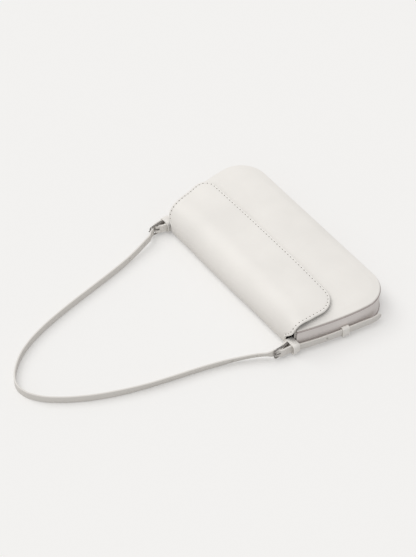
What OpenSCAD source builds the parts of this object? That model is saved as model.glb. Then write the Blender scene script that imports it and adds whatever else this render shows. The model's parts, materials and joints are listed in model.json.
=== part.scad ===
// Flap shoulder bag lying on its back, in millimetres.
// +X runs to the viewer's right, +Y to the mouth and the strap, +Z out of the front panel.
// The origin is the middle of the back panel's outer face.

/* [Body] */
// Widest width of the front and back panels
panel_w = 250; // [236:1:280]
// How far each side draws in from the widest place to the mouth
mouth_in = 15; // [11:0.5:22]
// Height of the panels, bottom seam to mouth
panel_h = 114; // [104:1:130]
// Radius of the two bottom corners
corner_r = 31; // [22:1:38]
// Depth of the bag from its back face to the front seam
body_d = 30; // [26:1:38]
// Height of the front panel's swell above its seam
crown_h = 8; // [5:0.5:10]

/* [Leather] */
// Thickness of the panels and the gusset
leather_t = 1.8; // [1.2:0.1:2.2]
// Thickness of the lining cloth
lining_t = 0.8; // [0.5:0.1:1]
// Height of the piping strip between panel and gusset
piping_h = 2.2; // [1.6:0.1:3]
// How far the piping stands out of the side
piping_out = 0.8; // [0.4:0.1:1.2]
// Depth of the leather facing inside the mouth
facing_h = 20; // [16:1:30]
// Thickness of the leather facing
facing_t = 1; // [0.6:0.1:1.2]

/* [Base and pocket] */
// Thickness of the base board
board_t = 1; // [0.6:0.1:1.2]
// How far each end of the base board stays from the bottom corner
board_end_in = 9; // [5:1:34]
// Width of the slip pocket
pocket_w = 120; // [80:1:150]
// Height of the slip pocket
pocket_h = 62; // [40:1:66]

/* [Flap] */
// How far the flap's sides stay inside the mouth's width where they pass the buckles
spine_in = 10.5; // [10:0.5:20]
// How far the flap's sides stay inside the widest width in front
flap_side_in = 11.5; // [10:0.5:20]
// How far the flap's lower edge lies below the mouth
flap_drop = 52; // [46:1:60]
// Radius of the flap's lower corners
flap_corner_r = 24; // [14:1:26]
// Thickness of the flap's outer leather
flap_t = 1.4; // [1:0.1:1.8]
// How far the top fold stands out beyond the mouth
fold_out = 7; // [5.5:0.5:12]
// Length over which the flap rounds from its flat front to the fold
shoulder_l = 17; // [12:1:22]
// How far the flap's side edges lie below its middle
side_drop = 2.5; // [1:0.1:3]

/* [Magnetic snap] */
// Height of the snap's middle above the flap's lower edge
snap_rise = 15; // [12:1:20]
// Diameter of the snap's discs
snap_d = 17; // [12:1:18]
// Thickness of each disc
snap_t = 1; // [0.8:0.1:1]
// Room between the front panel and the flap
snap_room = 2.4; // [2.4:0.1:4]
// Diameter of the snap's pin
pin_d = 3.4; // [2.5:0.1:4]

/* [Buckles] */
// Length of a buckle frame along the strap
frame_l = 18.5; // [18:0.1:22]
// Thickness of the frame's bars
bar_t = 1.8; // [1.6:0.1:2]
// How far the left buckle sits inside the side's face
left_in = 3; // [1:0.5:3]
// How far the right buckle sits outside the side's face
right_out = 2; // [0:0.5:3]
// Thickness of one layer of the buckle tab
chape_t = 1; // [0.8:0.1:1.1]

/* [Strap] */
// Width of the strap
strap_w = 10; // [8:0.5:12]
// Height of the strap's middle above the bag's back face
strap_rise = 11; // [10:0.5:14]
// Thickness of the strap
strap_t = 1.8; // [1.4:0.1:2]
// How far the loop reaches beyond its hinge line
loop_reach = 230.7; // [190:0.1:280]
// Length of a tail below the mouth
tail_l = 96; // [80:1:100]
// How far the tail's middle stands off the side
tail_stand = 3.1; // [3:0.1:3.6]
// Distance from one strap hole to the next
hole_pitch = 26; // [22:1:30]
// Diameter of a strap hole
hole_d = 2.2; // [1.6:0.1:2.6]
// Width of a keeper band
keeper_w = 8; // [6:0.5:10]
// Thickness of a keeper band
keeper_t = 1.3; // [0.9:0.1:1.4]
// Depth below the mouth at which the lower keeper sits
keeper_drop = 53; // [46:1:60]

/* [Hidden] */

// Colours
leather_c = [0.92, 0.91, 0.88];
edge_c = [0.86, 0.83, 0.81];
lining_c = [0.1, 0.1, 0.1];
metal_c = [0.6, 0.59, 0.57];
board_c = [0.45, 0.4, 0.34];

// Clearances
gap = 0.3;
sew_gap = 0.1;
overrun = 1;

// Panel outline
mouth_w = panel_w - 2 * mouth_in;
mouth_y = panel_h / 2;
bottom_y = -panel_h / 2;
wide_y = bottom_y + corner_r;
side_power_share = 1.6;
side_steps = 12;
arc_steps = 8;
cross_steps = 14;

// Half width of the panels at height y, above or inside the bottom corners
function side_x(y) =
    y >= wide_y
        ? panel_w / 2 - (panel_w - mouth_w) / 2 * pow((y - wide_y) / (mouth_y - wide_y), side_power_share)
        : panel_w / 2 - corner_r + sqrt(max(0, pow(corner_r, 2) - pow(wide_y - y, 2)));

// Right half of the outline from height top_y round to the bottom, drawn in by inset
function side_rows(inset, top_y) = concat(
    [for (i = [0 : side_steps - 1])
        let (y = top_y + (wide_y - top_y) * i / side_steps) [side_x(y) - inset, y]],
    [for (i = [0 : arc_steps])
        let (a = 90 * i / arc_steps, r = corner_r - inset)
            [panel_w / 2 - corner_r + r * cos(a), wide_y - r * sin(a)]]
);
function reversed(list) = [for (i = [len(list) - 1 : -1 : 0]) list[i]];
function mirrored(list) = [for (p = list) [-p[0], p[1]]];
function u_path(inset, top_y) =
    concat(side_rows(inset, top_y), mirrored(reversed(side_rows(inset, top_y))));

// A flat strip of thickness t along a 2D path
function unit(v) = v / norm(v);
function tangent(path, i) =
    let (last = len(path) - 1, u = path[max(i, 1)] - path[max(i, 1) - 1],
         v = path[min(i, last - 1) + 1] - path[min(i, last - 1)])
        unit(unit(u) * norm(v) + unit(v) * norm(u));
function strip(path, t) = concat(
    [for (i = [0 : len(path) - 1]) let (d = tangent(path, i)) path[i] + [d[1], -d[0]] * t / 2],
    [for (i = [len(path) - 1 : -1 : 0]) let (d = tangent(path, i)) path[i] - [d[1], -d[0]] * t / 2]
);

// The same path with extra points on a smooth curve between each two
function smooth_run(path, i, t) =
    let (b = path[i], c = path[i + 1], l = norm(c - b), m = tangent(path, i) * l,
         n = tangent(path, i + 1) * l, s = t * t * (3 - 2 * t))
        b * (1 - s) + c * s + m * (t * pow(1 - t, 2)) - n * (t * t * (1 - t));
function smoothed(path, steps) = concat(
    [for (i = [0 : len(path) - 2], k = [0 : steps - 1]) smooth_run(path, i, k / steps)],
    [path[len(path) - 1]]
);

// A closed thin shell between two grids of points with the same rows and columns
module grid_shell(outer, inner) {
    rows = len(outer);
    cols = len(outer[0]);
    count = rows * cols;
    function at(side, i, j) = side * count + i * cols + j;
    skin = [for (i = [0 : rows - 2], j = [0 : cols - 2]) each [
        [at(0, i, j), at(0, i + 1, j), at(0, i + 1, j + 1)],
        [at(0, i, j), at(0, i + 1, j + 1), at(0, i, j + 1)],
        [at(1, i, j), at(1, i + 1, j + 1), at(1, i + 1, j)],
        [at(1, i, j), at(1, i, j + 1), at(1, i + 1, j + 1)]
    ]];
    rim = concat(
        [for (j = [0 : cols - 1]) [0, j]],
        [for (i = [1 : rows - 1]) [i, cols - 1]],
        [for (j = [cols - 2 : -1 : 0]) [rows - 1, j]],
        [for (i = [rows - 2 : -1 : 1]) [i, 0]]
    );
    edge = [for (k = [0 : len(rim) - 1])
        let (a = rim[k], b = rim[(k + 1) % len(rim)]) each [
            [at(0, a[0], a[1]), at(0, b[0], b[1]), at(1, b[0], b[1])],
            [at(0, a[0], a[1]), at(1, b[0], b[1]), at(1, a[0], a[1])]
        ]];
    points = concat([for (row = outer) each row], [for (row = inner) each row]);
    polyhedron(points = points, faces = concat(skin, edge), convexity = 4);
}

// Front panel swell
swell_power_share = 2.5;
mouth_swell_share = 0.15;
swell_rise_share = 0.2;
swell_fall_share = 0.45;
function smooth(s) = let (c = min(max(s, 0), 1)) c * c * (3 - 2 * c);
function swell_along(y) =
    let (v = (mouth_y - y) / panel_h,
         rise = mouth_swell_share + (1 - mouth_swell_share) * smooth(v / swell_rise_share),
         fall = v > swell_fall_share
             ? 1 - pow(min((v - swell_fall_share) / (1 - swell_fall_share), 1), 3) : 1)
        rise * fall;
function swell(x, y) =
    crown_h * swell_along(y) * max(0, 1 - pow(min(abs(x) / side_x(y), 1), swell_power_share));

// Cross positions crowd towards the side edges
function cross_share(j) = sin(180 * j / cross_steps - 90);

// A sheet that follows the front panel, its upper face at height z at the seam
module front_sheet(inset, top_y, z, t, rows) {
    outer = [for (row = rows) [for (j = [0 : cross_steps])
        let (x = -row[0] * cross_share(j)) [x, row[1], z + swell(x, row[1])]]];
    inner = [for (row = outer) [for (p = row) [p[0], p[1], p[2] - t]]];
    grid_shell(outer, inner);
}

// Levels through the depth of the bag
seam_z = body_d - leather_t;
side_low_z = leather_t + piping_h;
side_high_z = seam_z - piping_h;
board_in = leather_t + sew_gap;
lining_in = board_in + board_t + sew_gap;
back_lining_z = leather_t + sew_gap;
wadding_t = 1;
front_lining_z = seam_z - wadding_t;
lining_edge_in = lining_in + lining_t + sew_gap;

// Width of the flap where it passes the buckles and in front
spine_w = mouth_w - 2 * spine_in;
flap_w = panel_w - 2 * flap_side_in;

// Flap section through the middle of the bag: points of a curve from the back panel's top edge
// over the mouth to the flat front, then straight to the lower edge
flap_lining_t = lining_t;
flap_stack = flap_t + sew_gap + flap_lining_t;
flap_z = body_d + crown_h + snap_room + flap_stack;
flap_edge_y = mouth_y - flap_drop;
shoulder_y = mouth_y - shoulder_l;
bulge_y = mouth_y + (8 * fold_out + shoulder_l) / 6;
low_handle_share = 0.07;
high_handle_share = 0.99;
fold_share = 0.7;
fold_ctrl = [
    [mouth_y + 2 * gap, gap],
    [bulge_y, flap_z * low_handle_share],
    [bulge_y, flap_z * high_handle_share],
    [shoulder_y, flap_z]
];
function curve(c, t) =
    pow(1 - t, 3) * c[0] + 3 * pow(1 - t, 2) * t * c[1] + 3 * (1 - t) * t * t * c[2] + pow(t, 3) * c[3];
function slope(c, t) =
    pow(1 - t, 2) * (c[1] - c[0]) + 2 * (1 - t) * t * (c[2] - c[1]) + t * t * (c[3] - c[2]);
fold_point = curve(fold_ctrl, fold_share);
fold_gap_share = gap / 2 / norm(slope(fold_ctrl, fold_share)) / 3;
even_share = 0.43;

// One row of the section: [half width, y, z, outward y, outward z, side drop]
function curve_row(t) =
    let (p = curve(fold_ctrl, t), d = unit(slope(fold_ctrl, t)),
         widen = smooth((t - even_share) / (fold_share - even_share)),
         past_fold = smooth((t - fold_share) / (1 - fold_share)))
        [spine_w / 2 + (flap_w - spine_w) / 2 * widen, p[0], p[1], d[1], -d[0], side_drop * past_fold];
curve_steps = 12;
front_curve_steps = 5;
flat_steps = 3;
spine_rows = [for (i = [0 : curve_steps]) curve_row((fold_share - fold_gap_share) * i / curve_steps)];
corner_room = 2;
flap_r = min(flap_corner_r, flap_drop - shoulder_l - corner_room);
corner_top_y = flap_edge_y + flap_r;
front_rows = concat(
    [for (i = [0 : front_curve_steps])
        let (start = fold_share + fold_gap_share) curve_row(start + (1 - start) * i / front_curve_steps)],
    [for (i = [1 : flat_steps - 1])
        let (s = i / flat_steps)
            [flap_w / 2, shoulder_y + (corner_top_y - shoulder_y) * s, flap_z, 0, 1, side_drop]],
    [for (i = [0 : arc_steps])
        let (a = 90 * i / arc_steps)
            [flap_w / 2 - flap_r + flap_r * cos(a), corner_top_y - flap_r * sin(a), flap_z, 0, 1,
             side_drop]]
);
function flap_point(row, u, depth) =
    let (x = row[0] * u, sink = depth + row[5] * pow(x / (flap_w / 2), 2))
        [x, row[1] - row[3] * sink, row[2] - row[4] * sink];
function flap_grid(rows, depth) =
    [for (row = rows) [for (j = [0 : cross_steps]) flap_point(row, -cross_share(j), depth)]];
module flap_layer(rows, depth, t) {
    grid_shell(flap_grid(rows, depth), flap_grid(rows, depth + t));
}

// Magnetic snap
snap_y = flap_edge_y + snap_rise;
socket_face_z = body_d + swell(0, snap_y);
stud_face_z = flap_z - flap_stack;
boss_share = 0.55;
boss_d = snap_d * boss_share;
pin_room = 2.2;
washer_t = 0.6;

// Buckle, in a frame with x outward, y up the strap and its centre bar at the origin
strap_z = max(strap_rise, side_low_z + sew_gap + keeper_t + gap + strap_w / 2);
buckle_room = 0.45;
bar_y = mouth_y + gap + keeper_w + buckle_room + frame_l / 2;
left_x = mouth_w / 2 - left_in;
right_x = mouth_w / 2 + right_out;
strap_side_gap = 0.4;
frame_w = strap_w + 2 * strap_side_gap + 2 * bar_t;
end_bar_y = (frame_l - bar_t) / 2;
wrap_gap = 0.1;
wrap_r = bar_t / 2 + wrap_gap + chape_t;
over_r = wrap_r + gap + strap_t / 2;
bar_corner_share = 0.17;
under_r = bar_t * (0.5 + bar_corner_share) + gap + strap_t / 2;
cross_a = asin((over_r + under_r) / end_bar_y);
leg_t = 2 * chape_t;
leg_swing_room = 2;
leg_x = -(bar_t / 2 + leg_swing_room + leg_t / 2);
prong_t = 1.2;
prong_w = 1.8;
prong_x = bar_t / 2 + wrap_gap + prong_t / 2;
prong_ring_r = wrap_r - wrap_gap;
prong_swing = 32;
prong_tip_share = 0.8;

// The strap's middle line round the buckle, then down the side of the bag
hinge_y = bar_y + end_bar_y + strap_w / 2 + gap;
hinge_z = strap_z;
tail_top_y = hinge_y - strap_w / 2 - gap;
arc_points = 4;
function buckle_line(x) = concat(
    [for (i = [0 : arc_points]) let (a = cross_a * i / arc_points)
        [x + over_r * cos(a), bar_y + over_r * sin(a)]],
    [for (i = [arc_points : -1 : 0]) let (a = cross_a * i / arc_points)
        [x - under_r * cos(a), bar_y + end_bar_y - under_r * sin(a)]]
);
// Each place on the tail: share of its length below the mouth, share of its stand off the side
tail_shares = [[1, 2.4], [0.9, 1.75], [0.76, 1.2], [0.62, 1], [0.5, 1], [0.3, 1.12], [0.12, 1.15]];
keeper_lift = 0.6;
mouth_stand_share = 1.1;
mouth_tail_x = mouth_w / 2 + tail_stand * mouth_stand_share;
function tail_line(x) = concat(
    [for (s = tail_shares) let (y = mouth_y - tail_l * s[0]) [side_x(y) + tail_stand * s[1], y]],
    [[mouth_tail_x, mouth_y], [x + over_r + keeper_lift, mouth_y + gap + keeper_w]],
    buckle_line(x)
);

// Strap loop: share of the half mouth width, share of the reach, share of the fall to the floor
floor_z = strap_w / 2 + gap;
loop_shares = [
    [-0.932, 0, 1], [-0.897, 0.0253, 0.893], [-0.86, 0.0553, 0.693], [-0.823, 0.09, 0.456],
    [-0.786, 0.1297, 0.228], [-0.748, 0.1784, 0.07], [-0.71, 0.2362, 0.006],
    [-0.667, 0.3116, 0], [-0.62, 0.4043, 0], [-0.567, 0.5051, 0], [-0.497, 0.6129, 0],
    [-0.411, 0.7177, 0], [-0.312, 0.8104, 0], [-0.203, 0.8903, 0], [-0.082, 0.955, 0],
    [0.041, 0.9915, 0], [0.166, 0.9985, 0], [0.28, 0.9731, 0], [0.375, 0.9329, 0],
    [0.465, 0.8784, 0], [0.542, 0.8097, 0], [0.611, 0.7203, 0], [0.667, 0.6197, 0],
    [0.713, 0.518, 0], [0.75, 0.4243, 0], [0.785, 0.3347, 0], [0.819, 0.2513, 0.006],
    [0.845, 0.1919, 0.07], [0.87, 0.1413, 0.228], [0.893, 0.0994, 0.456],
    [0.916, 0.0619, 0.693], [0.938, 0.0288, 0.893], [0.958, 0, 1]
];
loop_points = [for (s = loop_shares)
    [mouth_w / 2 * s[0], hinge_y + loop_reach * s[1], floor_z + (hinge_z - floor_z) * s[2]]];
loop_smooth = 3;
// The loop runs on past the hinge line at both ends, where its rounded ends are cut
left_lead = [-(left_x - under_r), bar_y + end_bar_y, hinge_z];
right_lead = [right_x - under_r, bar_y + end_bar_y, hinge_z];
loop_line = smoothed(concat([left_lead], loop_points, [right_lead]), loop_smooth);
tail_smooth = 3;
function tail_full(x, side) = concat(
    tail_line(x),
    [side < 0 ? [-loop_points[0][0], hinge_y] : [loop_points[len(loop_points) - 1][0], hinge_y]]
);

// Body
module back_panel() {
    color(leather_c) linear_extrude(leather_t) polygon(u_path(0, mouth_y));
}
module front_panel() {
    color(leather_c) difference() {
        front_sheet(0, mouth_y, body_d, leather_t, side_rows(0, mouth_y));
        translate([0, snap_y, seam_z - leather_t])
            cylinder(d = boss_d + 2 * gap, h = body_d, $fn = 32);
    }
}
module side_band(outer, inner, low, high, top_y = mouth_y) {
    translate([0, 0, low]) linear_extrude(high - low)
        polygon(concat(u_path(outer, top_y), reversed(u_path(inner, top_y))));
}
module gusset() {
    color(leather_c) side_band(0, leather_t, side_low_z, side_high_z);
}
module back_piping() {
    color(edge_c) side_band(-piping_out, leather_t, leather_t, side_low_z);
}
module front_piping() {
    color(edge_c) side_band(-piping_out, leather_t, side_high_z, seam_z);
}
board_edge_gap = 1;
board_l = panel_w - 2 * (corner_r + board_end_in);
module base_board() {
    board_low_z = side_low_z + board_edge_gap;
    color(board_c) translate([-board_l / 2, bottom_y + board_in, board_low_z])
        cube([board_l, board_t, side_high_z - board_edge_gap - board_low_z]);
}

// Lining
module back_lining() {
    color(lining_c) translate([0, 0, back_lining_z])
        linear_extrude(lining_t) polygon(u_path(lining_edge_in, mouth_y - gap));
}
module gusset_lining() {
    color(lining_c)
        side_band(lining_in, lining_in + lining_t, back_lining_z, seam_z - sew_gap, mouth_y - facing_h);
}
module front_lining() {
    top_y = mouth_y - facing_h - sew_gap;
    color(lining_c)
        front_sheet(lining_edge_in, top_y, front_lining_z, lining_t, side_rows(lining_edge_in, top_y));
}
facing_rows = 4;
module front_facing() {
    rows = [for (i = [0 : facing_rows])
        let (y = mouth_y - facing_h * i / facing_rows) [side_x(y) - facing_edge_in, y]];
    color(leather_c) front_sheet(facing_edge_in, mouth_y, front_lining_z, facing_t, rows);
}
tab_in = leather_t + gap;
facing_in = tab_in + leg_t + sew_gap;
facing_edge_in = facing_in + facing_t + sew_gap;
module gusset_facing(side) {
    ys = [for (i = [0 : facing_rows]) mouth_y - facing_h * i / facing_rows];
    low = back_lining_z + lining_t + sew_gap;
    high = seam_z - sew_gap;
    color(leather_c) translate([0, 0, low]) linear_extrude(high - low)
        polygon(concat(
            [for (y = ys) [side * (side_x(y) - facing_in), y]],
            [for (y = reversed(ys)) [side * (side_x(y) - facing_in - facing_t), y]]
        ));
}
module slip_pocket() {
    pocket_low_y = bottom_y + (panel_h - pocket_h) / 2;
    color(lining_c) translate([-pocket_w / 2, pocket_low_y, back_lining_z + lining_t])
        cube([pocket_w, pocket_h, lining_t]);
}

// Snap
module snap_socket() {
    z = socket_face_z + sew_gap;
    base_z = seam_z + swell(0, snap_y) - sew_gap;
    color(metal_c) translate([0, snap_y, 0]) difference() {
        union() {
            translate([0, 0, z]) cylinder(d = snap_d, h = snap_t, $fn = 48);
            translate([0, 0, base_z]) cylinder(d = boss_d, h = z + snap_t - base_z, $fn = 32);
        }
        translate([0, 0, base_z - overrun])
            cylinder(d = pin_d + pin_room, h = body_d, $fn = 32);
    }
}
module snap_socket_washer() {
    z = seam_z + swell(0, snap_y) - sew_gap - washer_t;
    color(metal_c) translate([0, snap_y, z]) difference() {
        cylinder(d = snap_d, h = washer_t, $fn = 48);
        translate([0, 0, -overrun]) cylinder(d = pin_d + pin_room, h = 3 * overrun, $fn = 32);
    }
}
module snap_stud() {
    color(metal_c) translate([0, snap_y, stud_face_z]) {
        translate([0, 0, -snap_t]) cylinder(d = snap_d, h = snap_t - sew_gap, $fn = 48);
        translate([0, 0, -2 * snap_t]) cylinder(d = pin_d, h = 2 * snap_t + flap_lining_t / 2, $fn = 32);
    }
}
module snap_stud_washer() {
    color(metal_c) translate([0, snap_y, stud_face_z + flap_lining_t / 2])
        cylinder(d = snap_d * boss_share, h = flap_lining_t / 2, $fn = 32);
}

// Flap
module flap_spine() {
    color(leather_c) flap_layer(spine_rows, 0, flap_t);
}
module spine_lining() {
    color(lining_c) flap_layer(spine_rows, flap_t + sew_gap, flap_lining_t);
}
module flap_front() {
    color(leather_c) flap_layer(front_rows, 0, flap_t);
}
module flap_lining() {
    color(lining_c) difference() {
        flap_layer(front_rows, flap_t + sew_gap, flap_lining_t);
        translate([0, snap_y, stud_face_z + flap_lining_t / 2 - sew_gap / 2])
            cylinder(d = snap_d * boss_share + 2 * sew_gap, h = overrun, $fn = 32);
        translate([0, snap_y, stud_face_z - overrun])
            cylinder(d = pin_d + 2 * sew_gap, h = 3 * overrun, $fn = 32);
    }
}

// Buckle hardware and keepers, drawn on the right and mirrored for the left
module on_side(side) {
    mirror([side < 0 ? 1 : 0, 0, 0]) children();
}
module rounded_plate(l, w, r) {
    square([l - 2 * r, w], center = true);
    square([l, w - 2 * r], center = true);
    for (sx = [-1, 1], sy = [-1, 1])
        translate([sx * (l / 2 - r), sy * (w / 2 - r)]) circle(r = r, $fn = 24);
}
leg_start_share = 0.4;
leg_pass_share = 0.92;
chape_depth_share = 0.8;
module chape(x) {
    low_y = mouth_y - facing_h * chape_depth_share;
    leg = [
        [x - wrap_r * leg_start_share, bar_y - wrap_r * leg_start_share],
        [x + leg_x * leg_pass_share, bar_y - end_bar_y + bar_t],
        [x + leg_x, bar_y - end_bar_y - bar_t / 2],
        [side_x(mouth_y) - tab_in - leg_t / 2, mouth_y + gap],
        [side_x(mouth_y - facing_h / 2) - tab_in - leg_t / 2, mouth_y - facing_h / 2],
        [side_x(low_y) - tab_in - leg_t / 2, low_y]
    ];
    color(leather_c) translate([0, 0, strap_z - strap_w / 2]) difference() {
        linear_extrude(strap_w) difference() {
            union() {
                translate([x, bar_y]) circle(r = wrap_r, $fn = 32);
                polygon(strip(leg, leg_t));
            }
            translate([x, bar_y]) circle(r = bar_t / 2 + wrap_gap, $fn = 32);
        }
        translate([x - 2 * wrap_r, bar_y - wrap_r - gap, (strap_w - prong_w) / 2 - gap])
            cube([4 * wrap_r, 4 * wrap_r, prong_w + 2 * gap]);
    }
}
module buckle_frame(x) {
    corner = bar_t;
    color(metal_c) translate([x, bar_y, strap_z]) {
        rotate([90, 0, 90]) translate([0, 0, -bar_t / 2]) linear_extrude(bar_t) difference() {
            rounded_plate(frame_l, frame_w, corner);
            square([frame_l - 2 * bar_t, frame_w - 2 * bar_t], center = true);
        }
        translate([0, 0, -frame_w / 2 + bar_t / 2])
            cylinder(d = bar_t, h = frame_w - bar_t, $fn = 32);
    }
}
module prong(x) {
    color(metal_c) translate([x, bar_y, strap_z - prong_w / 2]) difference() {
        union() {
            cylinder(r = prong_ring_r, h = prong_w, $fn = 32);
            translate([prong_x - prong_t / 2, 0, 0])
                cube([prong_t, end_bar_y + bar_t * prong_tip_share, prong_w]);
        }
        translate([0, 0, -overrun]) cylinder(r = bar_t / 2 + wrap_gap, h = 3 * overrun + prong_w, $fn = 32);
    }
}
module upper_keeper(x) {
    inner_x = min(x + leg_x, mouth_w / 2 - tab_in - leg_t / 2) - leg_t / 2 - gap;
    outer_x = max(x + over_r + keeper_lift, mouth_tail_x) + strap_t / 2 + gap;
    room_z = strap_w + 2 * gap;
    color(leather_c) translate([0, mouth_y + gap, strap_z]) difference() {
        translate([inner_x - keeper_t, 0, -room_z / 2 - keeper_t])
            cube([outer_x - inner_x + 2 * keeper_t, keeper_w, room_z + 2 * keeper_t]);
        translate([inner_x, -overrun, -room_z / 2])
            cube([outer_x - inner_x, keeper_w + 2 * overrun, room_z]);
    }
}
lower_keeper_y = mouth_y - keeper_drop;
keeper_tilt = atan2(side_x(lower_keeper_y - keeper_w) - side_x(lower_keeper_y + keeper_w), 2 * keeper_w);
module lower_keeper() {
    inner_t = tail_stand - strap_t / 2 - gap - sew_gap;
    room_x = strap_t + 2 * gap;
    room_z = strap_w + 2 * gap;
    color(leather_c) translate([side_x(lower_keeper_y) + sew_gap, lower_keeper_y, strap_z])
        rotate([0, 0, keeper_tilt]) difference() {
            translate([0, -keeper_w / 2, -room_z / 2 - keeper_t])
                cube([inner_t + room_x + keeper_t, keeper_w, room_z + 2 * keeper_t]);
            translate([inner_t, -keeper_w / 2 - overrun, -room_z / 2])
                cube([room_x, keeper_w + 2 * overrun, room_z]);
        }
}

// Strap
loop_holes = [1, 2];
prong_to_bar = norm([prong_x + under_r, end_bar_y - over_r]);
function walk(path, s, i = 0) =
    let (d = path[i + 1] - path[i], l = norm(d))
        s <= l || i >= len(path) - 2 ? [path[i] + d * s / l, d] : walk(path, s - l, i + 1);
module prong_slot(x) {
    reach = end_bar_y + bar_t;
    room = prong_t / 2 + gap;
    translate([x, bar_y, strap_z - prong_w / 2 - gap]) linear_extrude(prong_w + 2 * gap) hull()
        for (a = [0, prong_swing]) rotate(-a) translate([prong_x - room, 0]) square([2 * room, reach]);
}
module strap_tail(x, side) {
    path = smoothed(tail_full(x, side), tail_smooth);
    tip_y = mouth_y - tail_l;
    reach = panel_w;
    color(leather_c) difference() {
        intersection() {
            translate([0, 0, strap_z - strap_w / 2]) linear_extrude(strap_w) polygon(strip(path, strap_t));
            translate([0, 0, strap_z]) rotate([90, 0, 90]) linear_extrude(reach) union() {
                translate([tip_y + strap_w / 2, 0]) circle(d = strap_w, $fn = 48);
                translate([tip_y + strap_w / 2, -strap_w / 2])
                    square([tail_top_y - tip_y - strap_w / 2, strap_w]);
            }
        }
        prong_slot(x);
        translate([0, bar_y + over_r - 2 * hole_pitch, strap_z]) rotate([0, 90, 0])
            cylinder(d = hole_d, h = reach, $fn = 24);
    }
}
module strap() {
    last = len(loop_line) - 1;
    rings = [for (i = [0 : last])
        let (along = tangent(loop_line, i), flat = unit([along[0], along[1]]),
             side = [flat[1], -flat[0], 0] * strap_t / 2, up = [0, 0, strap_w / 2], p = loop_line[i])
            [p + side - up, p + side + up, p - side + up, p - side - up]];
    faces = concat(
        [for (i = [0 : last - 1], k = [0 : 3]) let (n = (k + 1) % 4) each [
            [4 * i + k, 4 * i + n, 4 * i + 4 + n],
            [4 * i + k, 4 * i + 4 + n, 4 * i + 4 + k]
        ]],
        [[3, 2, 1, 0], [4 * last, 4 * last + 1, 4 * last + 2, 4 * last + 3]]
    );
    color(leather_c) difference() {
        polyhedron(points = [for (r = rings) each r], faces = faces, convexity = 8);
        difference() {
            translate([-panel_w, hinge_y - 2 * strap_w, 0]) cube([2 * panel_w, 2 * strap_w, body_d]);
            translate([-panel_w, hinge_y, hinge_z]) rotate([0, 90, 0])
                cylinder(d = strap_w, h = 2 * panel_w, $fn = 48);
        }
        for (line = [loop_line, reversed(loop_line)], k = loop_holes)
            let (spot = walk(line, k * hole_pitch - prong_to_bar), d = spot[1])
                translate(spot[0]) rotate([0, 0, atan2(d[1], d[0])]) rotate([90, 0, 0])
                    cylinder(d = hole_d, h = 2 * strap_w, center = true, $fn = 24);
    }
}

back_panel();
front_panel();
gusset();
back_piping();
front_piping();
base_board();
back_lining();
front_lining();
gusset_lining();
front_facing();
gusset_facing(-1);  // gusset_facing_left
gusset_facing(1);  // gusset_facing_right
slip_pocket();
snap_socket();
snap_socket_washer();
snap_stud();
snap_stud_washer();
flap_spine();
spine_lining();
flap_front();
flap_lining();
on_side(-1) chape(left_x);  // chape_left
on_side(1) chape(right_x);  // chape_right
on_side(-1) buckle_frame(left_x);  // buckle_frame_left
on_side(1) buckle_frame(right_x);  // buckle_frame_right
on_side(-1) prong(left_x);  // prong_left
on_side(1) prong(right_x);  // prong_right
on_side(-1) upper_keeper(left_x);  // upper_keeper_left
on_side(1) upper_keeper(right_x);  // upper_keeper_right
on_side(-1) lower_keeper();  // lower_keeper_left
on_side(1) lower_keeper();  // lower_keeper_right
on_side(-1) strap_tail(left_x, -1);  // strap_tail_left
on_side(1) strap_tail(right_x, 1);  // strap_tail_right
strap();
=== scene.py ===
"""A small flap shoulder bag in smooth off-white leather, lying on its back panel.

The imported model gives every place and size. Lengths in the classes are millimetres.
"""

from __future__ import annotations

import json
import logging
import math
from dataclasses import dataclass
from enum import Enum
from typing import Sequence

import bmesh
import bpy
import numpy as np
from mathutils import Matrix, Vector


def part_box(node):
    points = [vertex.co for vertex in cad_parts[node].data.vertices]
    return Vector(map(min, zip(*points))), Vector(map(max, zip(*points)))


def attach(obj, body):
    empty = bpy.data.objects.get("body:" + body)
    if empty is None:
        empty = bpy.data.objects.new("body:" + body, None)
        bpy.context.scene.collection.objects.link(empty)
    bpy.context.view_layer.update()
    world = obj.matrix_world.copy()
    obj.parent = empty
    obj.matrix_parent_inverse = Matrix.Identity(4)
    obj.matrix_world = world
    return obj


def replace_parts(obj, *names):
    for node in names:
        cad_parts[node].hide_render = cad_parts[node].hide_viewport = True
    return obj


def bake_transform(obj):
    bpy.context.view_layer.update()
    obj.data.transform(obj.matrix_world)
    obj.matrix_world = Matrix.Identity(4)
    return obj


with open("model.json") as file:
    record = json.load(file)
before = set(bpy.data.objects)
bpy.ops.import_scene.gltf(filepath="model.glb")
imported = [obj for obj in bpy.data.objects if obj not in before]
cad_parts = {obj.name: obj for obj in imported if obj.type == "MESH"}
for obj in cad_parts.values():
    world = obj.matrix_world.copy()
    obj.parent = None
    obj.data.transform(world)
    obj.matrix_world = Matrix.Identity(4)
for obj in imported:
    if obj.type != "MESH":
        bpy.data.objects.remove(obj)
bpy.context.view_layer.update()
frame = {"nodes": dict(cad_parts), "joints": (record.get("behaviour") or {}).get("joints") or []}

LOG = logging.getLogger("shoulder_bag")
MM = 0.001
UP = np.array([0, 0, 1.0])
# How far the strap's fittings hang below their places in the frame, in millimetres
SAG = 2.4
# How far in from its corners' start a band's painted edge begins, in millimetres
EDGE_ROOM = 0.05
# Distances from a rim at which a leather edge needs points for its roll and its sewn line
RIM_STEPS = np.array([0, 0.05, 0.18, 0.4, 0.7, 1.1, 1.6, 2.0, 2.4, 2.8, 3.2, 3.6, 4.1, 4.8, 5.8, 7.2, 9.0])

Array = np.ndarray
Piece = bpy.types.Object
Material = bpy.types.Material
Socket = bpy.types.NodeSocket
Colour = tuple[float, float, float]


class Slot(Enum):
    """Material slots of the record."""

    LEATHER = "leather"
    EDGE = "leather_edge"
    LINING = "lining"
    BUCKLE = "buckle_metal"
    SNAP = "snap_metal"


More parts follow.
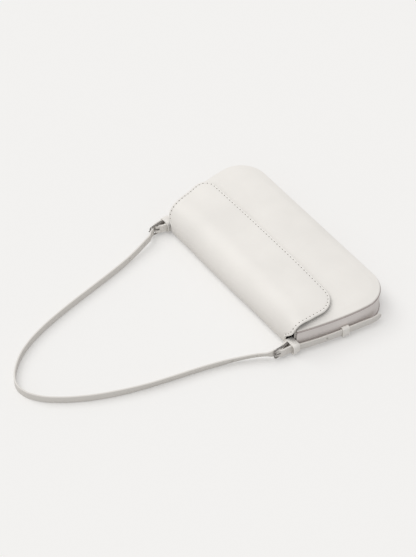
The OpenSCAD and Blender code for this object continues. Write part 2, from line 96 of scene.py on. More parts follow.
class Side(Enum):
    """The bag's two sides, as the sign of X."""

    LEFT = -1
    RIGHT = 1


class Keeper(Enum):
    """The two keeper bands of one side."""

    UPPER = "upper"
    LOWER = "lower"


class Layer(Enum):
    """The flap's two layers."""

    LEATHER = "leather"
    LINING = "lining"


# Reading the frame


def box_mm(node: str) -> tuple[Array, Array]:
    """Low and high corner of a node's solid, in millimetres."""
    low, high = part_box(node)
    return np.array(low) / MM, np.array(high) / MM


def hung_joint(name: str) -> Array:
    """Place of one of the strap's joints in millimetres, as low as its fittings hang."""
    place = next(joint["pos_m"] for joint in frame["joints"] if joint["name"] == name)
    return np.array(place) / MM - SAG * UP


# Sums on points


def smooth(s: Array | float) -> Array | float:
    """Smoothstep of s, held between 0 and 1."""
    c = np.clip(s, 0.0, 1.0)
    return c * c * (3 - 2 * c)


def unit(v: Array) -> Array:
    """Vectors along the last axis, scaled to length 1."""
    length = np.linalg.norm(v, axis=-1, keepdims=True)
    return v / np.maximum(length, 1e-12)


def stack(x: Array, y: Array, z: Array | float) -> Array:
    """Three arrays of coordinates as one array of places."""
    return np.stack(np.broadcast_arrays(x, y, z), -1)


def runs(path: Array) -> Array:
    """Length from a path's start to each of its points."""
    return np.concatenate([[0], np.cumsum(np.linalg.norm(np.diff(path, axis=0), axis=1))])


def tangents(path: Array, closed: bool = False) -> Array:
    """Directions along a path, weighted so that short and long steps both count.

    Args:
        path: points, one a row.
        closed: whether the last point leads back to the first.

    Returns:
        One unit vector a point.
    """
    if closed:
        back, ahead = path - np.roll(path, 1, 0), np.roll(path, -1, 0) - path
    else:
        steps = np.diff(path, axis=0)
        back, ahead = np.vstack([steps[:1], steps]), np.vstack([steps, steps[-1:]])
    lb = np.linalg.norm(back, axis=1, keepdims=True)
    la = np.linalg.norm(ahead, axis=1, keepdims=True)
    return unit(back / lb * la + ahead / la * lb)


def smoothed(path: Array, steps: int) -> Array:
    """Puts points on a smooth curve through a path.

    Args:
        path: points that the curve goes through.
        steps: steps between each two of them.

    Returns:
        The curve's points.
    """
    m = tangents(path)
    t = (np.arange(steps) / steps)[:, None]
    s = smooth(t)
    spans = []
    for i in range(len(path) - 1):
        b, c = path[i], path[i + 1]
        length = np.linalg.norm(c - b)
        leave, arrive = m[i] * length, m[i + 1] * length
        spans.append(b * (1 - s) + c * s + leave * t * (1 - t) ** 2 - arrive * t * t * (1 - t))
    return np.vstack(spans + [path[-1:]])


def spaced(path: Array, step: float) -> Array:
    """The same path with points at equal steps.

    Args:
        path: points, one a row.
        step: about how long the steps are.

    Returns:
        The new points.
    """
    along = runs(path)
    at = np.linspace(0, along[-1], max(2, round(along[-1] / step) + 1))
    return np.column_stack([np.interp(at, along, column) for column in path.T])


def line_distance(points: Array, line: Array) -> Array:
    """Distance from each 2D point to the nearest place on a broken line.

    Args:
        points: (..., 2) places.
        line: (n, 2) corners of the line.

    Returns:
        (...) distances.
    """
    flat = points.reshape(-1, 2)
    best = np.full(len(flat), np.inf)
    for a, b in zip(line[:-1], line[1:]):
        ab = b - a
        t = np.clip(((flat - a) @ ab) / max(ab @ ab, 1e-12), 0, 1)
        best = np.minimum(best, np.linalg.norm(flat - a - t[:, None] * ab, axis=1))
    return best.reshape(points.shape[:-1])


def edge_steps(length: float, count: int) -> Array:
    """Rising distances from 0 to length that crowd towards both ends, with count steps between."""
    middle = np.linspace(RIM_STEPS[-1], length - RIM_STEPS[-1], count + 1)[1:-1]
    return np.concatenate([RIM_STEPS, middle, (length - RIM_STEPS)[::-1]])


def rounded(d: Array, r: float) -> Array:
    """How far a rounded edge of radius r has dropped at distance d from its rim."""
    inside = np.clip(r - d, 0, r)
    return r - np.sqrt(np.maximum(r * r - inside * inside, 0))


def groove(d: Array, at: float, depth: float, width: float) -> Array:
    """Depth of a sewn or creased line that runs at distance `at` from the rim."""
    return depth * np.exp(-(((d - at) / width) ** 2))


def wave(x: Array, y: Array, long: float, turn: float) -> Array:
    """A soft, uneven wave over a surface, from -1 to 1.

    Args:
        x: places along one axis.
        y: places along the other.
        long: distance from top to top.
        turn: direction of the wave, in degrees.

    Returns:
        The wave's height at each place.
    """
    a, k = math.radians(turn), 2 * math.pi / long
    u, v = x * math.cos(a) + y * math.sin(a), y * math.cos(a) - x * math.sin(a)
    return (np.sin(k * u + 1.3 * np.sin(0.7 * k * v)) + np.sin(0.61 * k * v + 1.7 + 0.8 * np.sin(k * u))) / 2


def circle(r: float, steps: int) -> Array:
    """Points round a circle."""
    a = np.linspace(0, 2 * math.pi, steps, endpoint=False)
    return np.column_stack([r * np.cos(a), r * np.sin(a)])


def rounded_box(length: float, width: float, r: float, corner_steps: int = 4) -> Array:
    """Points round a rectangle with rounded corners.

    Args:
        length: its size along the first axis.
        width: its size along the second axis.
        r: radius of the corners.
        corner_steps: steps round each corner.

    Returns:
        (n, 2) places.
    """
    points = []
    for sx, sy, start in ((1, 1, 0), (-1, 1, 90), (-1, -1, 180), (1, -1, 270)):
        for k in range(corner_steps + 1):
            a = math.radians(start + 90 * k / corner_steps)
            points.append((sx * (length / 2 - r) + r * math.cos(a), sy * (width / 2 - r) + r * math.sin(a)))
    return np.array(points)


def rounded_loop(length: float, width: float, r: float, corner_steps: int = 6, side_steps: int = 4) -> Array:
    """The same rectangle as a path to sweep along, with its straight sides cut into steps.

    Args:
        length: its size along the first axis.
        width: its size along the second axis.
        r: radius of the corners.
        corner_steps: steps round each corner.
        side_steps: steps along each side.

    Returns:
        (n, 2) places.
    """
    loop = rounded_box(length, width, r, corner_steps)
    points = []
    for a, b in zip(loop, np.roll(loop, -1, 0)):
        steps = side_steps if np.linalg.norm(b - a) > r else 1
        points += [a + (b - a) * k / steps for k in range(steps)]
    return np.array(points)


# Meshes


def placed(name: str, data: bpy.types.ID) -> Piece:
    """Puts a new object in the scene.

    Args:
        name: its name.
        data: its mesh, camera or lamp.

    Returns:
        The object.
    """
    obj = bpy.data.objects.new(name, data)
    bpy.context.scene.collection.objects.link(obj)
    return obj


def new_object(name: str, points: Array, faces: Sequence, slots: Sequence[int] = ()) -> Piece:
    """Makes a smooth-shaded mesh object from points in millimetres.

    Args:
        name: the piece's name.
        points: (n, 3) places.
        faces: tuples of point numbers.
        slots: material index of each face, or nothing for 0.

    Returns:
        The new object, in the scene.
    """
    mesh = bpy.data.meshes.new(name)
    mesh.from_pydata((np.asarray(points) * MM).tolist(), [], [tuple(int(i) for i in f) for f in faces])
    if len(slots):
        mesh.polygons.foreach_set("material_index", np.asarray(slots, np.int32))
    mesh.polygons.foreach_set("use_smooth", np.ones(len(mesh.polygons), bool))
    mesh.validate()
    tidy = bmesh.new()
    tidy.from_mesh(mesh)
    bmesh.ops.remove_doubles(tidy, verts=tidy.verts, dist=1e-7)
    bmesh.ops.recalc_face_normals(tidy, faces=tidy.faces)
    tidy.to_mesh(mesh)
    tidy.free()
    return placed(name, mesh)


def grid_shell(name: str, outer: Array, inner: Array) -> Piece:
    """Makes a closed leather or cloth shell between two grids of points.

    Args:
        name: the piece's name.
        outer: (rows, columns, 3) places of the outer face.
        inner: places of the inner face, on the same grid.

    Returns:
        The new object. Faces of the inner side have material index 1, and so has the rim.
    """
    rows, cols = outer.shape[:2]
    count = rows * cols
    at = np.arange(count).reshape(rows, cols)
    quads = np.stack([at[:-1, :-1], at[1:, :-1], at[1:, 1:], at[:-1, 1:]], -1).reshape(-1, 4)
    rim = np.concatenate([at[0, :], at[1:, -1], at[-1, -2::-1], at[-2:0:-1, 0]])
    step = np.roll(rim, -1)
    band = np.stack([rim, step, step + count, rim + count], -1)
    faces = np.vstack([quads, quads[:, ::-1] + count, band])
    slots = [0] * len(quads) + [1] * (len(quads) + len(band))
    return new_object(name, np.vstack([outer.reshape(-1, 3), inner.reshape(-1, 3)]), faces, slots)


def level_shell(name: str, x: Array, y: Array, outer: Array | float, inner: Array | float) -> Piece:
    """A closed shell between two heights over one grid of places."""
    return grid_shell(name, stack(x, y, outer), stack(x, y, inner))


def tube_faces(rings: int, sides: int, closed: bool) -> list[tuple[int, ...]]:
    """Faces that join rings of points into a tube.

    Args:
        rings: number of rings.
        sides: points in each ring.
        closed: whether the last ring leads back to the first.

    Returns:
        Four point numbers a face.
    """
    i, k = np.meshgrid(np.arange(rings if closed else rings - 1), np.arange(sides), indexing="ij")
    a, b = i * sides + k, i * sides + (k + 1) % sides
    count = rings * sides
    quads = np.stack([a, b, (b + sides) % count, (a + sides) % count], -1)
    return [tuple(face) for face in quads.reshape(-1, 4)]


def sweep(
    name: str,
    path: Array,
    wide: Array,
    section: Array,
    closed: bool = False,
    scale: Array | float = 1.0,
    edge_from: float = math.inf,
) -> Piece:
    """Sweeps a closed section along a path.

    Args:
        name: the piece's name.
        path: (n, 3) places.
        wide: direction of the section's second axis, one for all places or one for each.
        section: (m, 2) outline, as (across, wide).
        closed: whether the path is a loop.
        scale: (n, 2) shares of the section's size, across and wide.
        edge_from: faces that lie further out than this along `wide` get material index 1.

    Returns:
        The new object.
    """
    along = tangents(path, closed)
    wide = unit(wide - (wide * along).sum(1, keepdims=True) * along)
    across = np.cross(wide, along)
    ring = section[None] * np.broadcast_to(scale, (len(path), 2))[:, None]
    points = path[:, None] + ring[..., :1] * across[:, None] + ring[..., 1:] * wide[:, None]
    faces = tube_faces(len(path), len(section), closed)
    middle = (section[:, 1] + np.roll(section[:, 1], -1)) / 2
    slots = list(np.tile((np.abs(middle) > edge_from).astype(int), len(faces) // len(section)))
    if not closed:
        last = len(path) * len(section)
        faces += [tuple(range(len(section)))[::-1], tuple(range(last - len(section), last))]
        slots += [1, 1]
    return new_object(name, points.reshape(-1, 3), faces, slots)


def lathe(name: str, profile: Sequence[tuple[float, float]], centre: Array, steps: int = 48) -> Piece:
    """Turns a closed profile round an upright axis.

    Args:
        name: the piece's name.
        profile: (radius, height) places.
        centre: a place on the axis, of which the height isn't used.
        steps: steps round the turn.

    Returns:
        The new object.
    """
    radius, height = np.array(profile).T
    turn = circle(1.0, steps)[:, None]
    points = stack(radius * turn[..., 0], radius * turn[..., 1], height) + (centre[0], centre[1], 0)
    return new_object(name, points.reshape(-1, 3), tube_faces(steps, len(profile), True))


def rod(start: Array, end: Array, r: float) -> Piece:
    """A plain round rod, used as a punch for holes.

    Args:
        start: place of one end.
        end: place of the other end.
        r: its radius.

    Returns:
        The rod.
    """
    path = np.array([start, end], float)
    side = UP if abs(unit(path[1] - path[0])[2]) < 0.9 else np.array([1.0, 0, 0])
    return sweep("punch", path, side, circle(r, 20))


def baked(obj: Piece) -> None:
    """Turns modifiers into mesh and removes them.

    Args:
        obj: the object that has them.
    """
    graph = bpy.context.evaluated_depsgraph_get()
    mesh = bpy.data.meshes.new_from_object(obj.evaluated_get(graph))
    obj.modifiers.clear()
    obj.data = mesh


def cut(obj: Piece, tools: Sequence[Piece]) -> None:
    """Takes shapes out of an object.

    Args:
        obj: the object.
        tools: objects whose shapes are taken out; they are removed.
    """
    for tool in tools:
        modifier = obj.modifiers.new("cut", "BOOLEAN")
        modifier.operation = "DIFFERENCE"
        modifier.solver = "EXACT"
        modifier.object = tool
    baked(obj)
    for tool in tools:
        bpy.data.objects.remove(tool)


def joined(obj: Piece, other: Piece) -> Piece:
    """Adds one object's mesh to another's.

    Args:
        obj: the object that stays.
        other: the object whose mesh is added; it is removed.

    Returns:
        The object that stays.
    """
    made = bmesh.new()
    made.from_mesh(obj.data)
    made.from_mesh(other.data)
    bpy.data.objects.remove(other)
    made.to_mesh(obj.data)
    made.free()
    return obj


# Nodes


def fill(node: bpy.types.Node, values: dict) -> None:
    """Sets a node's inputs.

    Args:
        node: the node.
        values: by the inputs' names or numbers, sockets to link or values to store.
    """
    for key, value in values.items():
        if isinstance(value, Socket):
            node.id_data.links.new(value, node.inputs[key])
        else:
            node.inputs[key].default_value = value


def add(
    tree: bpy.types.NodeTree,
    kind: str,
    values: dict | None = None,
    out: int | str = 0,
    **options: object,
) -> Socket:
    """Adds a node to a tree.

    Args:
        tree: the node tree.
        kind: the node's type.
        values: values or sockets for its inputs.
        out: the output to return.
        options: the node's own settings.

    Returns:
        One of the node's outputs.
    """
    node = tree.nodes.new(kind)
    for name, value in options.items():
        setattr(node, name, value)
    fill(node, values or {})
    return node.outputs[out]


# Finishes


@dataclass(frozen=True)
class Finish:
    """A finish with one fine noise in its colour and its relief."""

    name: str
    colour: Colour
    roughness: float
    # Features a metre, and how much finer detail the noise has
    scale: float
    detail: float
    # The darkest tone as a share of the colour, and the noise's values for it and for the colour
    dark: float
    low: float
    high: float
    # Strength and depth of the relief, in millimetres
    relief: float
    depth: float

    def make(self) -> Material:
        """Builds the material."""
        material = bpy.data.materials.new(self.name)
        material.use_nodes = True
        shader = material.node_tree.nodes["Principled BSDF"]
        fill(shader, {"Base Color": (*self.colour, 1), "Roughness": self.roughness})
        self.dress(shader)
        return material

    def dress(self, shader: bpy.types.Node) -> None:
        """Feeds the shader's colour, gloss and normal."""
        self.pattern(shader, self.noise(shader, self.scale, self.detail))

    def pattern(self, shader: bpy.types.Node, height: Socket) -> None:
        """Puts one pattern in colour and relief."""
        self.tint(shader, height, (self.low, self.dark), (self.high, 1.0))
        self.bump(shader, (height, self.relief, self.depth))

    @staticmethod
    def noise(shader: bpy.types.Node, scale: float, detail: float, kind: str = "Noise") -> Socket:
        """A noise on Object coordinates.

        Args:
            shader: the material's shader.
            scale: features a metre.
            detail: how much finer detail it has.
            kind: the kind of noise.

        Returns:
            The noise's value.
        """
        tree = shader.id_data
        coords = add(tree, "ShaderNodeTexCoord", out="Object")
        return add(tree, f"ShaderNodeTex{kind}", {"Scale": scale, "Detail": detail, "Vector": coords})

    def tint(self, shader: bpy.types.Node, value: Socket, *stops: tuple) -> None:
        """Shades the colour by a value.

        Args:
            shader: the material's shader.
            value: what shades it.
            stops: the dark and the light stop, as (value, share of the colour).
        """
        colour = add(shader.id_data, "ShaderNodeValToRGB", {"Fac": value})
        for mark, (place, share) in zip(colour.node.color_ramp.elements, stops):
            mark.position = place
            mark.color = (*(min(1.0, c * share) for c in self.colour), 1)
        fill(shader, {"Base Color": colour})

    def gloss(self, shader: bpy.types.Node, value: Socket, less: float, more: float) -> None:
        """Lets a value change the roughness, from less to more than the finish's own."""
        span = {"Value": value, "To Min": self.roughness - less, "To Max": self.roughness + more}
        fill(shader, {"Roughness": add(shader.id_data, "ShaderNodeMapRange", span)})

    @staticmethod
    def bump(shader: bpy.types.Node, *layers: tuple) -> None:
        """Stacks bumps on the shader.

        Args:
            shader: the material's shader.
            layers: the bumps, as (height, strength, depth in millimetres).
        """
        last: dict[str, Socket] = {}
        for height, strength, depth in layers:
            values = {"Strength": strength, "Distance": depth * MM, "Height": height, **last}
            last = {"Normal": add(shader.id_data, "ShaderNodeBump", values)}
        fill(shader, last)


@dataclass(frozen=True)
class EdgePaint(Finish):
    """Rolled edge paint on cut leather edges: smoother, with a slight bead."""

    scale: float = 350.0
    detail: float = 2.0
    dark: float = 0.93
    low: float = 0.35
    high: float = 0.65
    relief: float = 0.3
    depth: float = 0.15


@dataclass(frozen=True)
class Thread(Finish):
    """Waxed sewing thread with a fine twist."""

    scale: float = 2600.0
    detail: float = 1.0
    dark: float = 0.85
    low: float = 0.4
    high: float = 0.6
    relief: float = 0.4
    depth: float = 0.08


@dataclass(frozen=True)
class Board(Finish):
    """Pressed fibre board with short flecks."""

    scale: float = 900.0
    detail: float = 6.0
    dark: float = 0.7
    low: float = 0.35
    high: float = 0.6
    relief: float = 0.5
    depth: float = 0.2


@dataclass(frozen=True)
class Plate(Finish):
    """Polished or satin nickel, with faint wipe marks in its gloss."""

    scale: float = 240.0
    detail: float = 5.0
    dark: float = 0.9
    low: float = 0.3
    high: float = 0.7
    relief: float = 0.05
    depth: float = 0.05
    marks: float = 0.08

    def dress(self, shader: bpy.types.Node) -> None:
        """Makes it metal, with the same marks in colour, relief and gloss.

        Args:
            shader: the material's shader.
        """
        wipe = self.noise(shader, self.scale, self.detail)
        self.pattern(shader, wipe)
        self.gloss(shader, wipe, 0.0, self.marks)
        fill(shader, {"Metallic": 1.0})


@dataclass(frozen=True)
class Cloth(Finish):
    """Plain-woven lining: two crossed thread waves and a little sheen."""

    scale: float = 1400.0
    detail: float = 0.6
    dark: float = 1.0
    low: float = 0.1
    high: float = 0.9
    relief: float = 0.5
    depth: float = 0.12
    light: float = 1.9

    def dress(self, shader: bpy.types.Node) -> None:
        """Crosses two waves of threads; `detail` is how unevenly the threads run.

        Args:
            shader: the material's shader.
        """
        tree = shader.id_data
        coords = add(tree, "ShaderNodeTexCoord", out="Object")
        values = {"Scale": self.scale, "Distortion": self.detail, "Vector": coords}
        warp, weft = (add(tree, "ShaderNodeTexWave", values, "Fac", bands_direction=axis) for axis in "XY")
        weave = add(tree, "ShaderNodeMath", {0: warp, 1: weft}, operation="MULTIPLY")
        self.tint(shader, weave, (self.low, self.dark), (self.high, self.light))
        self.bump(shader, (weave, self.relief, self.depth))
        fill(shader, {"Sheen Weight": 0.15})


@dataclass(frozen=True)
class Leather(Finish):
    """Smooth calf leather: a fine pebble grain, soft tone changes and a satin gloss."""

    scale: float = 22.0
    detail: float = 3.0
    dark: float = 0.965
    low: float = 0.3
    high: float = 0.7
    relief: float = 0.25
    depth: float = 0.12
    light: float = 1.0175
    pebbles: float = 900.0

    def dress(self, shader: bpy.types.Node) -> None:
        """Lays clouds in the colour, and pebbles, finer grain and soft unevenness in the relief.

        Args:
            shader: the material's shader.
        """
        cloud = self.noise(shader, self.scale, self.detail)
        self.tint(shader, cloud, (self.low, self.dark), (self.high, self.light))
        pebble = self.noise(shader, self.pebbles, 0.0, "Voronoi")
        fine = self.noise(shader, self.pebbles * 2.3, 4.0)
        soft = self.noise(shader, 60.0, 2.0)
        self.gloss(shader, soft, 0.06, 0.08)
        grain = (pebble, self.relief, self.depth)
        self.bump(shader, (soft, 0.25, 0.5), grain, (fine, self.relief * 0.6, 0.05))
        fill(shader, {"Specular IOR Level": 0.3})


class Finishes:
    """Every finish of the bag, made once."""

    def __init__(self) -> None:
        """Makes the materials."""
        self.leather = Leather("off_white_leather", (0.88, 0.85, 0.808), 0.58).make()
        # A darker, pinker copy of the off-white leather: painted shade for the side strip's upright faces
        self.side = Leather("side_leather", (0.84, 0.79, 0.765), 0.58).make()
        # A darker copy of the off-white leather: painted shade on the strap's standing faces
        self.strap = Leather("strap_leather", (0.79, 0.76, 0.72), 0.5, relief=0.35).make()
        # Dark brown on the flap's underside and cut edge: painted shade of the gap under the flap's edge
        self.flap_underside_shade = EdgePaint("raw_edge", (0.40, 0.345, 0.27), 0.7).make()
        # Cream edge paint, made lighter than the leather itself: real edge paint with painted light on the
        # lit top edges
        self.edge = EdgePaint("painted_edge", (0.96, 0.92, 0.875), 0.45).make()
        # A dark pinkish brown: painted shade of the seam line under the front panel's rolled rim
        self.piping = Leather("piping_leather", (0.50, 0.44, 0.42), 0.55, relief=0.15).make()
        self.lining = Cloth("black_lining", (0.012, 0.011, 0.011), 0.85).make()
        self.thread = Thread("cream_thread", (0.80, 0.78, 0.74), 0.55).make()
        # Dark beads that stand for needle holes: painted shade inside the holes
        self.hole = EdgePaint("needle_hole", (0.22, 0.20, 0.175), 0.9).make()
        self.nickel = Plate("polished_nickel", (0.38, 0.36, 0.345), 0.2).make()
        self.snap = Plate("satin_nickel", (0.60, 0.59, 0.57), 0.3, marks=0.12).make()
        self.board = Board("fibre_board", (0.30, 0.26, 0.20), 0.8).make()

    @staticmethod
    def dress(obj: Piece, slot: Slot, skin: Material, rim: Material | None = None) -> Piece:
        """Gives a piece its materials and reports it.

        Args:
            obj: the piece.
            slot: the record's slot; not used.
            skin: the finish of its faces.
            rim: the finish of its faces with material index 1, or nothing for the same.

        Returns:
            The piece.
        """
        obj.data.materials.clear()
        for material in (skin, rim or skin):
            obj.data.materials.append(material)
        LOG.info("made %s", obj.name)
        return obj


# The bag's shape


@dataclass(frozen=True)
class BodyShape:
    """Outline, depth and swell of the bag's body."""

    half_wide: float
    mouth_y: float
    bottom_y: float
    seam_z: float
    crown: float
    mouth_in: float = 15.0
    corner_r: float = 31.0
    side_power: float = 1.6
    leather_t: float = 1.8
    # The panel's swell: its share at the mouth, where it is full, where it falls, and how it falls
    swell_mouth: float = 0.15
    swell_full: float = 0.2
    swell_falls: float = 0.45
    down_power: float = 3
    across_power: float = 2.5

    @classmethod
    def from_frame(cls) -> "BodyShape":
        """Reads the body's size from the front panel's solid."""
        low, high = box_mm("front_panel")
        return cls(high[0], high[1], low[1], low[2], high[2] - low[2] - cls.leather_t)

    @property
    def wide_y(self) -> float:
        """Height at which the body is widest, where the bottom corners start."""
        return self.bottom_y + self.corner_r

    def half_width(self, y: Array | float, inset: float = 0.0) -> Array:
        """Half width of the body.

        Args:
            y: the heights at which it is wanted.
            inset: how far the outline is drawn in.

        Returns:
            One half width a height.
        """
        y = np.asarray(y, float)
        rise = np.maximum(y - self.wide_y, 0) / (self.mouth_y - self.wide_y)
        side = self.half_wide - self.mouth_in * rise**self.side_power - inset
        fall = np.maximum(self.wide_y - y, 0)
        r = self.corner_r - inset
        arc = self.half_wide - self.corner_r + np.sqrt(np.maximum(r * r - fall * fall, 0))
        return np.where(y >= self.wide_y, side, arc)

    def swell(self, x: Array, y: Array) -> Array:
        """How far the front panel stands above its seam.

        Args:
            x: places across the panel.
            y: places down it.

        Returns:
            One height a place.
        """
        v = (self.mouth_y - y) / (self.mouth_y - self.bottom_y)
        rise = self.swell_mouth + (1 - self.swell_mouth) * smooth(v / self.swell_full)
        below = np.clip((v - self.swell_falls) / (1 - self.swell_falls), 0, 1)
        across = np.clip(np.abs(x) / np.maximum(self.half_width(y), 1), 0, 1)
        return self.crown * rise * (1 - below**self.down_power) * (1 - across**self.across_power)

    def side_path(self, inset: float = 0.0, top_y: float | None = None, step: float = 2.0) -> Array:
        """The seam's line from the mouth's right end round the bottom to its left end.

        Args:
            inset: how far the line lies inside the outline.
            top_y: height of its two ends, or nothing for the mouth.
            step: distance between points.

        Returns:
            (n, 2) places.
        """
        top = self.mouth_y if top_y is None else top_y
        ys = np.linspace(top, self.wide_y, 40)
        a = np.radians(np.linspace(0, 90, 24)[1:])
        r = self.corner_r - inset
        side = np.column_stack([self.half_width(ys, inset), ys])
        corner_x = self.half_wide - self.corner_r
        arc = np.column_stack([corner_x + r * np.cos(a), self.wide_y - r * np.sin(a)])
        half = np.vstack([side, arc])
        return spaced(np.vstack([half, half[::-1] * (-1, 1)]), step)

    def grid(self, inset: float, top_y: float, rows: int, cols: int) -> tuple[Array, Array, Array]:
        """Places over a panel that crowd towards its edges.

        Args:
            inset: how far the panel's rim lies inside the outline.
            top_y: height of its upper edge.
            rows: steps in the open middle, down the panel.
            cols: steps in the open middle, across it.

        Returns:
            Three (rows, columns) arrays: x, y and the distance from the panel's seam.
        """
        ys = top_y - edge_steps(top_y - self.bottom_y - inset, rows)
        x = -np.array([edge_steps(2 * w, cols) - w for w in self.half_width(ys, inset)])
        y = np.repeat(ys[:, None], x.shape[1], 1)
        return x, y, line_distance(np.stack([x, y], -1), self.side_path(inset, top_y))


# Sewing


class Stitching:
    """Rows of stitches with their needle holes as dark beads of painted shade, made by one Geometry Nodes
    tree.
    """

    # Hole is the size of the dark bead of painted shade that stands for each needle hole
    SIZES = (("Pitch", 4.6), ("Length", 2.9), ("Width", 0.75), ("Hole", 1.35), ("Slant", 6.0))

    def __init__(self, finishes: Finishes) -> None:
        """Builds the tree once for all rows.

        Args:
            finishes: the bag's finishes.
        """
        self.finishes = finishes
        self.tree = bpy.data.node_groups.new("stitch_row", "GeometryNodeTree")
        self.inputs: dict[str, str] = {}
        self.build_tree()

    def add(self, kind: str, values: dict | None = None, **options: object) -> Socket:
        """Adds a node to the tree and returns its first output."""
        return add(self.tree, kind, values, **options)

    def build_tree(self) -> None:
        """Spaces stitches along a line, turned to the surface that its `up` attribute names."""
        face = self.tree.interface
        face.new_socket("Geometry", in_out="INPUT", socket_type="NodeSocketGeometry")
        for name, value in self.SIZES:
            item = face.new_socket(name, in_out="INPUT", socket_type="NodeSocketFloat")
            item.default_value = value if name == "Slant" else value * MM
            self.inputs[name] = item.identifier
        face.new_socket("Geometry", in_out="OUTPUT", socket_type="NodeSocketGeometry")
        sizes = self.tree.nodes.new("NodeGroupInput").outputs
        end = self.tree.nodes.new("NodeGroupOutput")
        curve = self.add("GeometryNodeMeshToCurve", {"Mesh": sizes["Geometry"]})
        spacing = {"Curve": curve, "Length": sizes["Pitch"]}
        even = self.add("GeometryNodeResampleCurve", spacing, mode="LENGTH")
        up = self.add("GeometryNodeInputNamedAttribute", {"Name": "up"}, data_type="FLOAT_VECTOR")
        tangent = self.add("GeometryNodeInputTangent")
        along = self.add("FunctionNodeAlignRotationToVector", {"Vector": tangent}, axis="X")
        facing = {"Rotation": along, "Vector": up}
        turned = self.add("FunctionNodeAlignRotationToVector", facing, axis="Z", pivot_axis="X")
        both = self.add("GeometryNodeJoinGeometry")
        slant = self.add("ShaderNodeCombineXYZ", {"Z": self.times(sizes["Slant"], math.radians(1))})
        # Stitches in thread, then needle holes as dark beads of painted shade half a pitch along
        parts = (("Length", "Width", 0.0, self.finishes.thread), ("Hole", "Hole", 0.5, self.finishes.hole))
        for long, wide, shift, material in parts:
            bead = self.bead(sizes[long], sizes[wide])
            spots = {"Points": even, "Instance": bead, "Rotation": turned}
            last = self.add("GeometryNodeInstanceOnPoints", spots)
            offset = self.add("ShaderNodeCombineXYZ", {"X": self.times(sizes["Pitch"], shift)})
            moved = {"Instances": last, "Translation": offset, "Local Space": True}
            last = self.add("GeometryNodeTranslateInstances", moved)
            if long == "Length":
                last = self.add("GeometryNodeRotateInstances", {"Instances": last, "Rotation": slant})
            real = self.add("GeometryNodeRealizeInstances", {"Geometry": last})
            dressed = self.add("GeometryNodeSetMaterial", {"Geometry": real, "Material": material})
            fill(both.node, {"Geometry": dressed})
        fill(end, {"Geometry": both})

    def times(self, socket: Socket, factor: float) -> Socket:
        """A socket multiplied by a number."""
        return self.add("ShaderNodeMath", {0: socket, 1: factor}, operation="MULTIPLY")

    def bead(self, long: Socket, wide: Socket) -> Socket:
        """A round bead, flattened to lie in the leather.

        Args:
            long: its length along the row.
            wide: its width.

        Returns:
            The bead's geometry.
        """
        ball = self.add("GeometryNodeMeshUVSphere", {"Segments": 10, "Rings": 6, "Radius": 0.5})
        size = self.add("ShaderNodeCombineXYZ", {"X": long, "Y": wide, "Z": self.times(wide, 0.6)})
        return self.add("GeometryNodeTransform", {"Geometry": ball, "Scale": size})

    def sew(self, name: str, path: Array, up: Array, **sizes: float) -> Piece:
        """Sews one row.

        Args:
            name: the piece's name.
            path: (n, 3) places in millimetres.
            up: directions that the surface faces, one for all places or one for each.
            sizes: sizes that differ from the tree's own, in millimetres or degrees.

        Returns:
            The stitches as a plain mesh.
        """
        mesh = bpy.data.meshes.new(name)
        mesh.from_pydata((path * MM).tolist(), [(i, i + 1) for i in range(len(path) - 1)], [])
        facing = np.broadcast_to(up, path.shape).astype(np.float32)
        mesh.attributes.new("up", "FLOAT_VECTOR", "POINT").data.foreach_set("vector", facing.ravel())
        obj = placed(name, mesh)
        modifier = obj.modifiers.new("stitches", "NODES")
        modifier.node_group = self.tree
        for key, value in sizes.items():
            modifier[self.inputs[key]] = value if key == "Slant" else value * MM
        baked(obj)
        obj.data.polygons.foreach_set("use_smooth", np.ones(len(obj.data.polygons), bool))
        while None in obj.data.materials[:]:
            obj.data.materials.pop(index=obj.data.materials[:].index(None))
        LOG.info("made %s", name)
        return obj


# The strap and its fittings


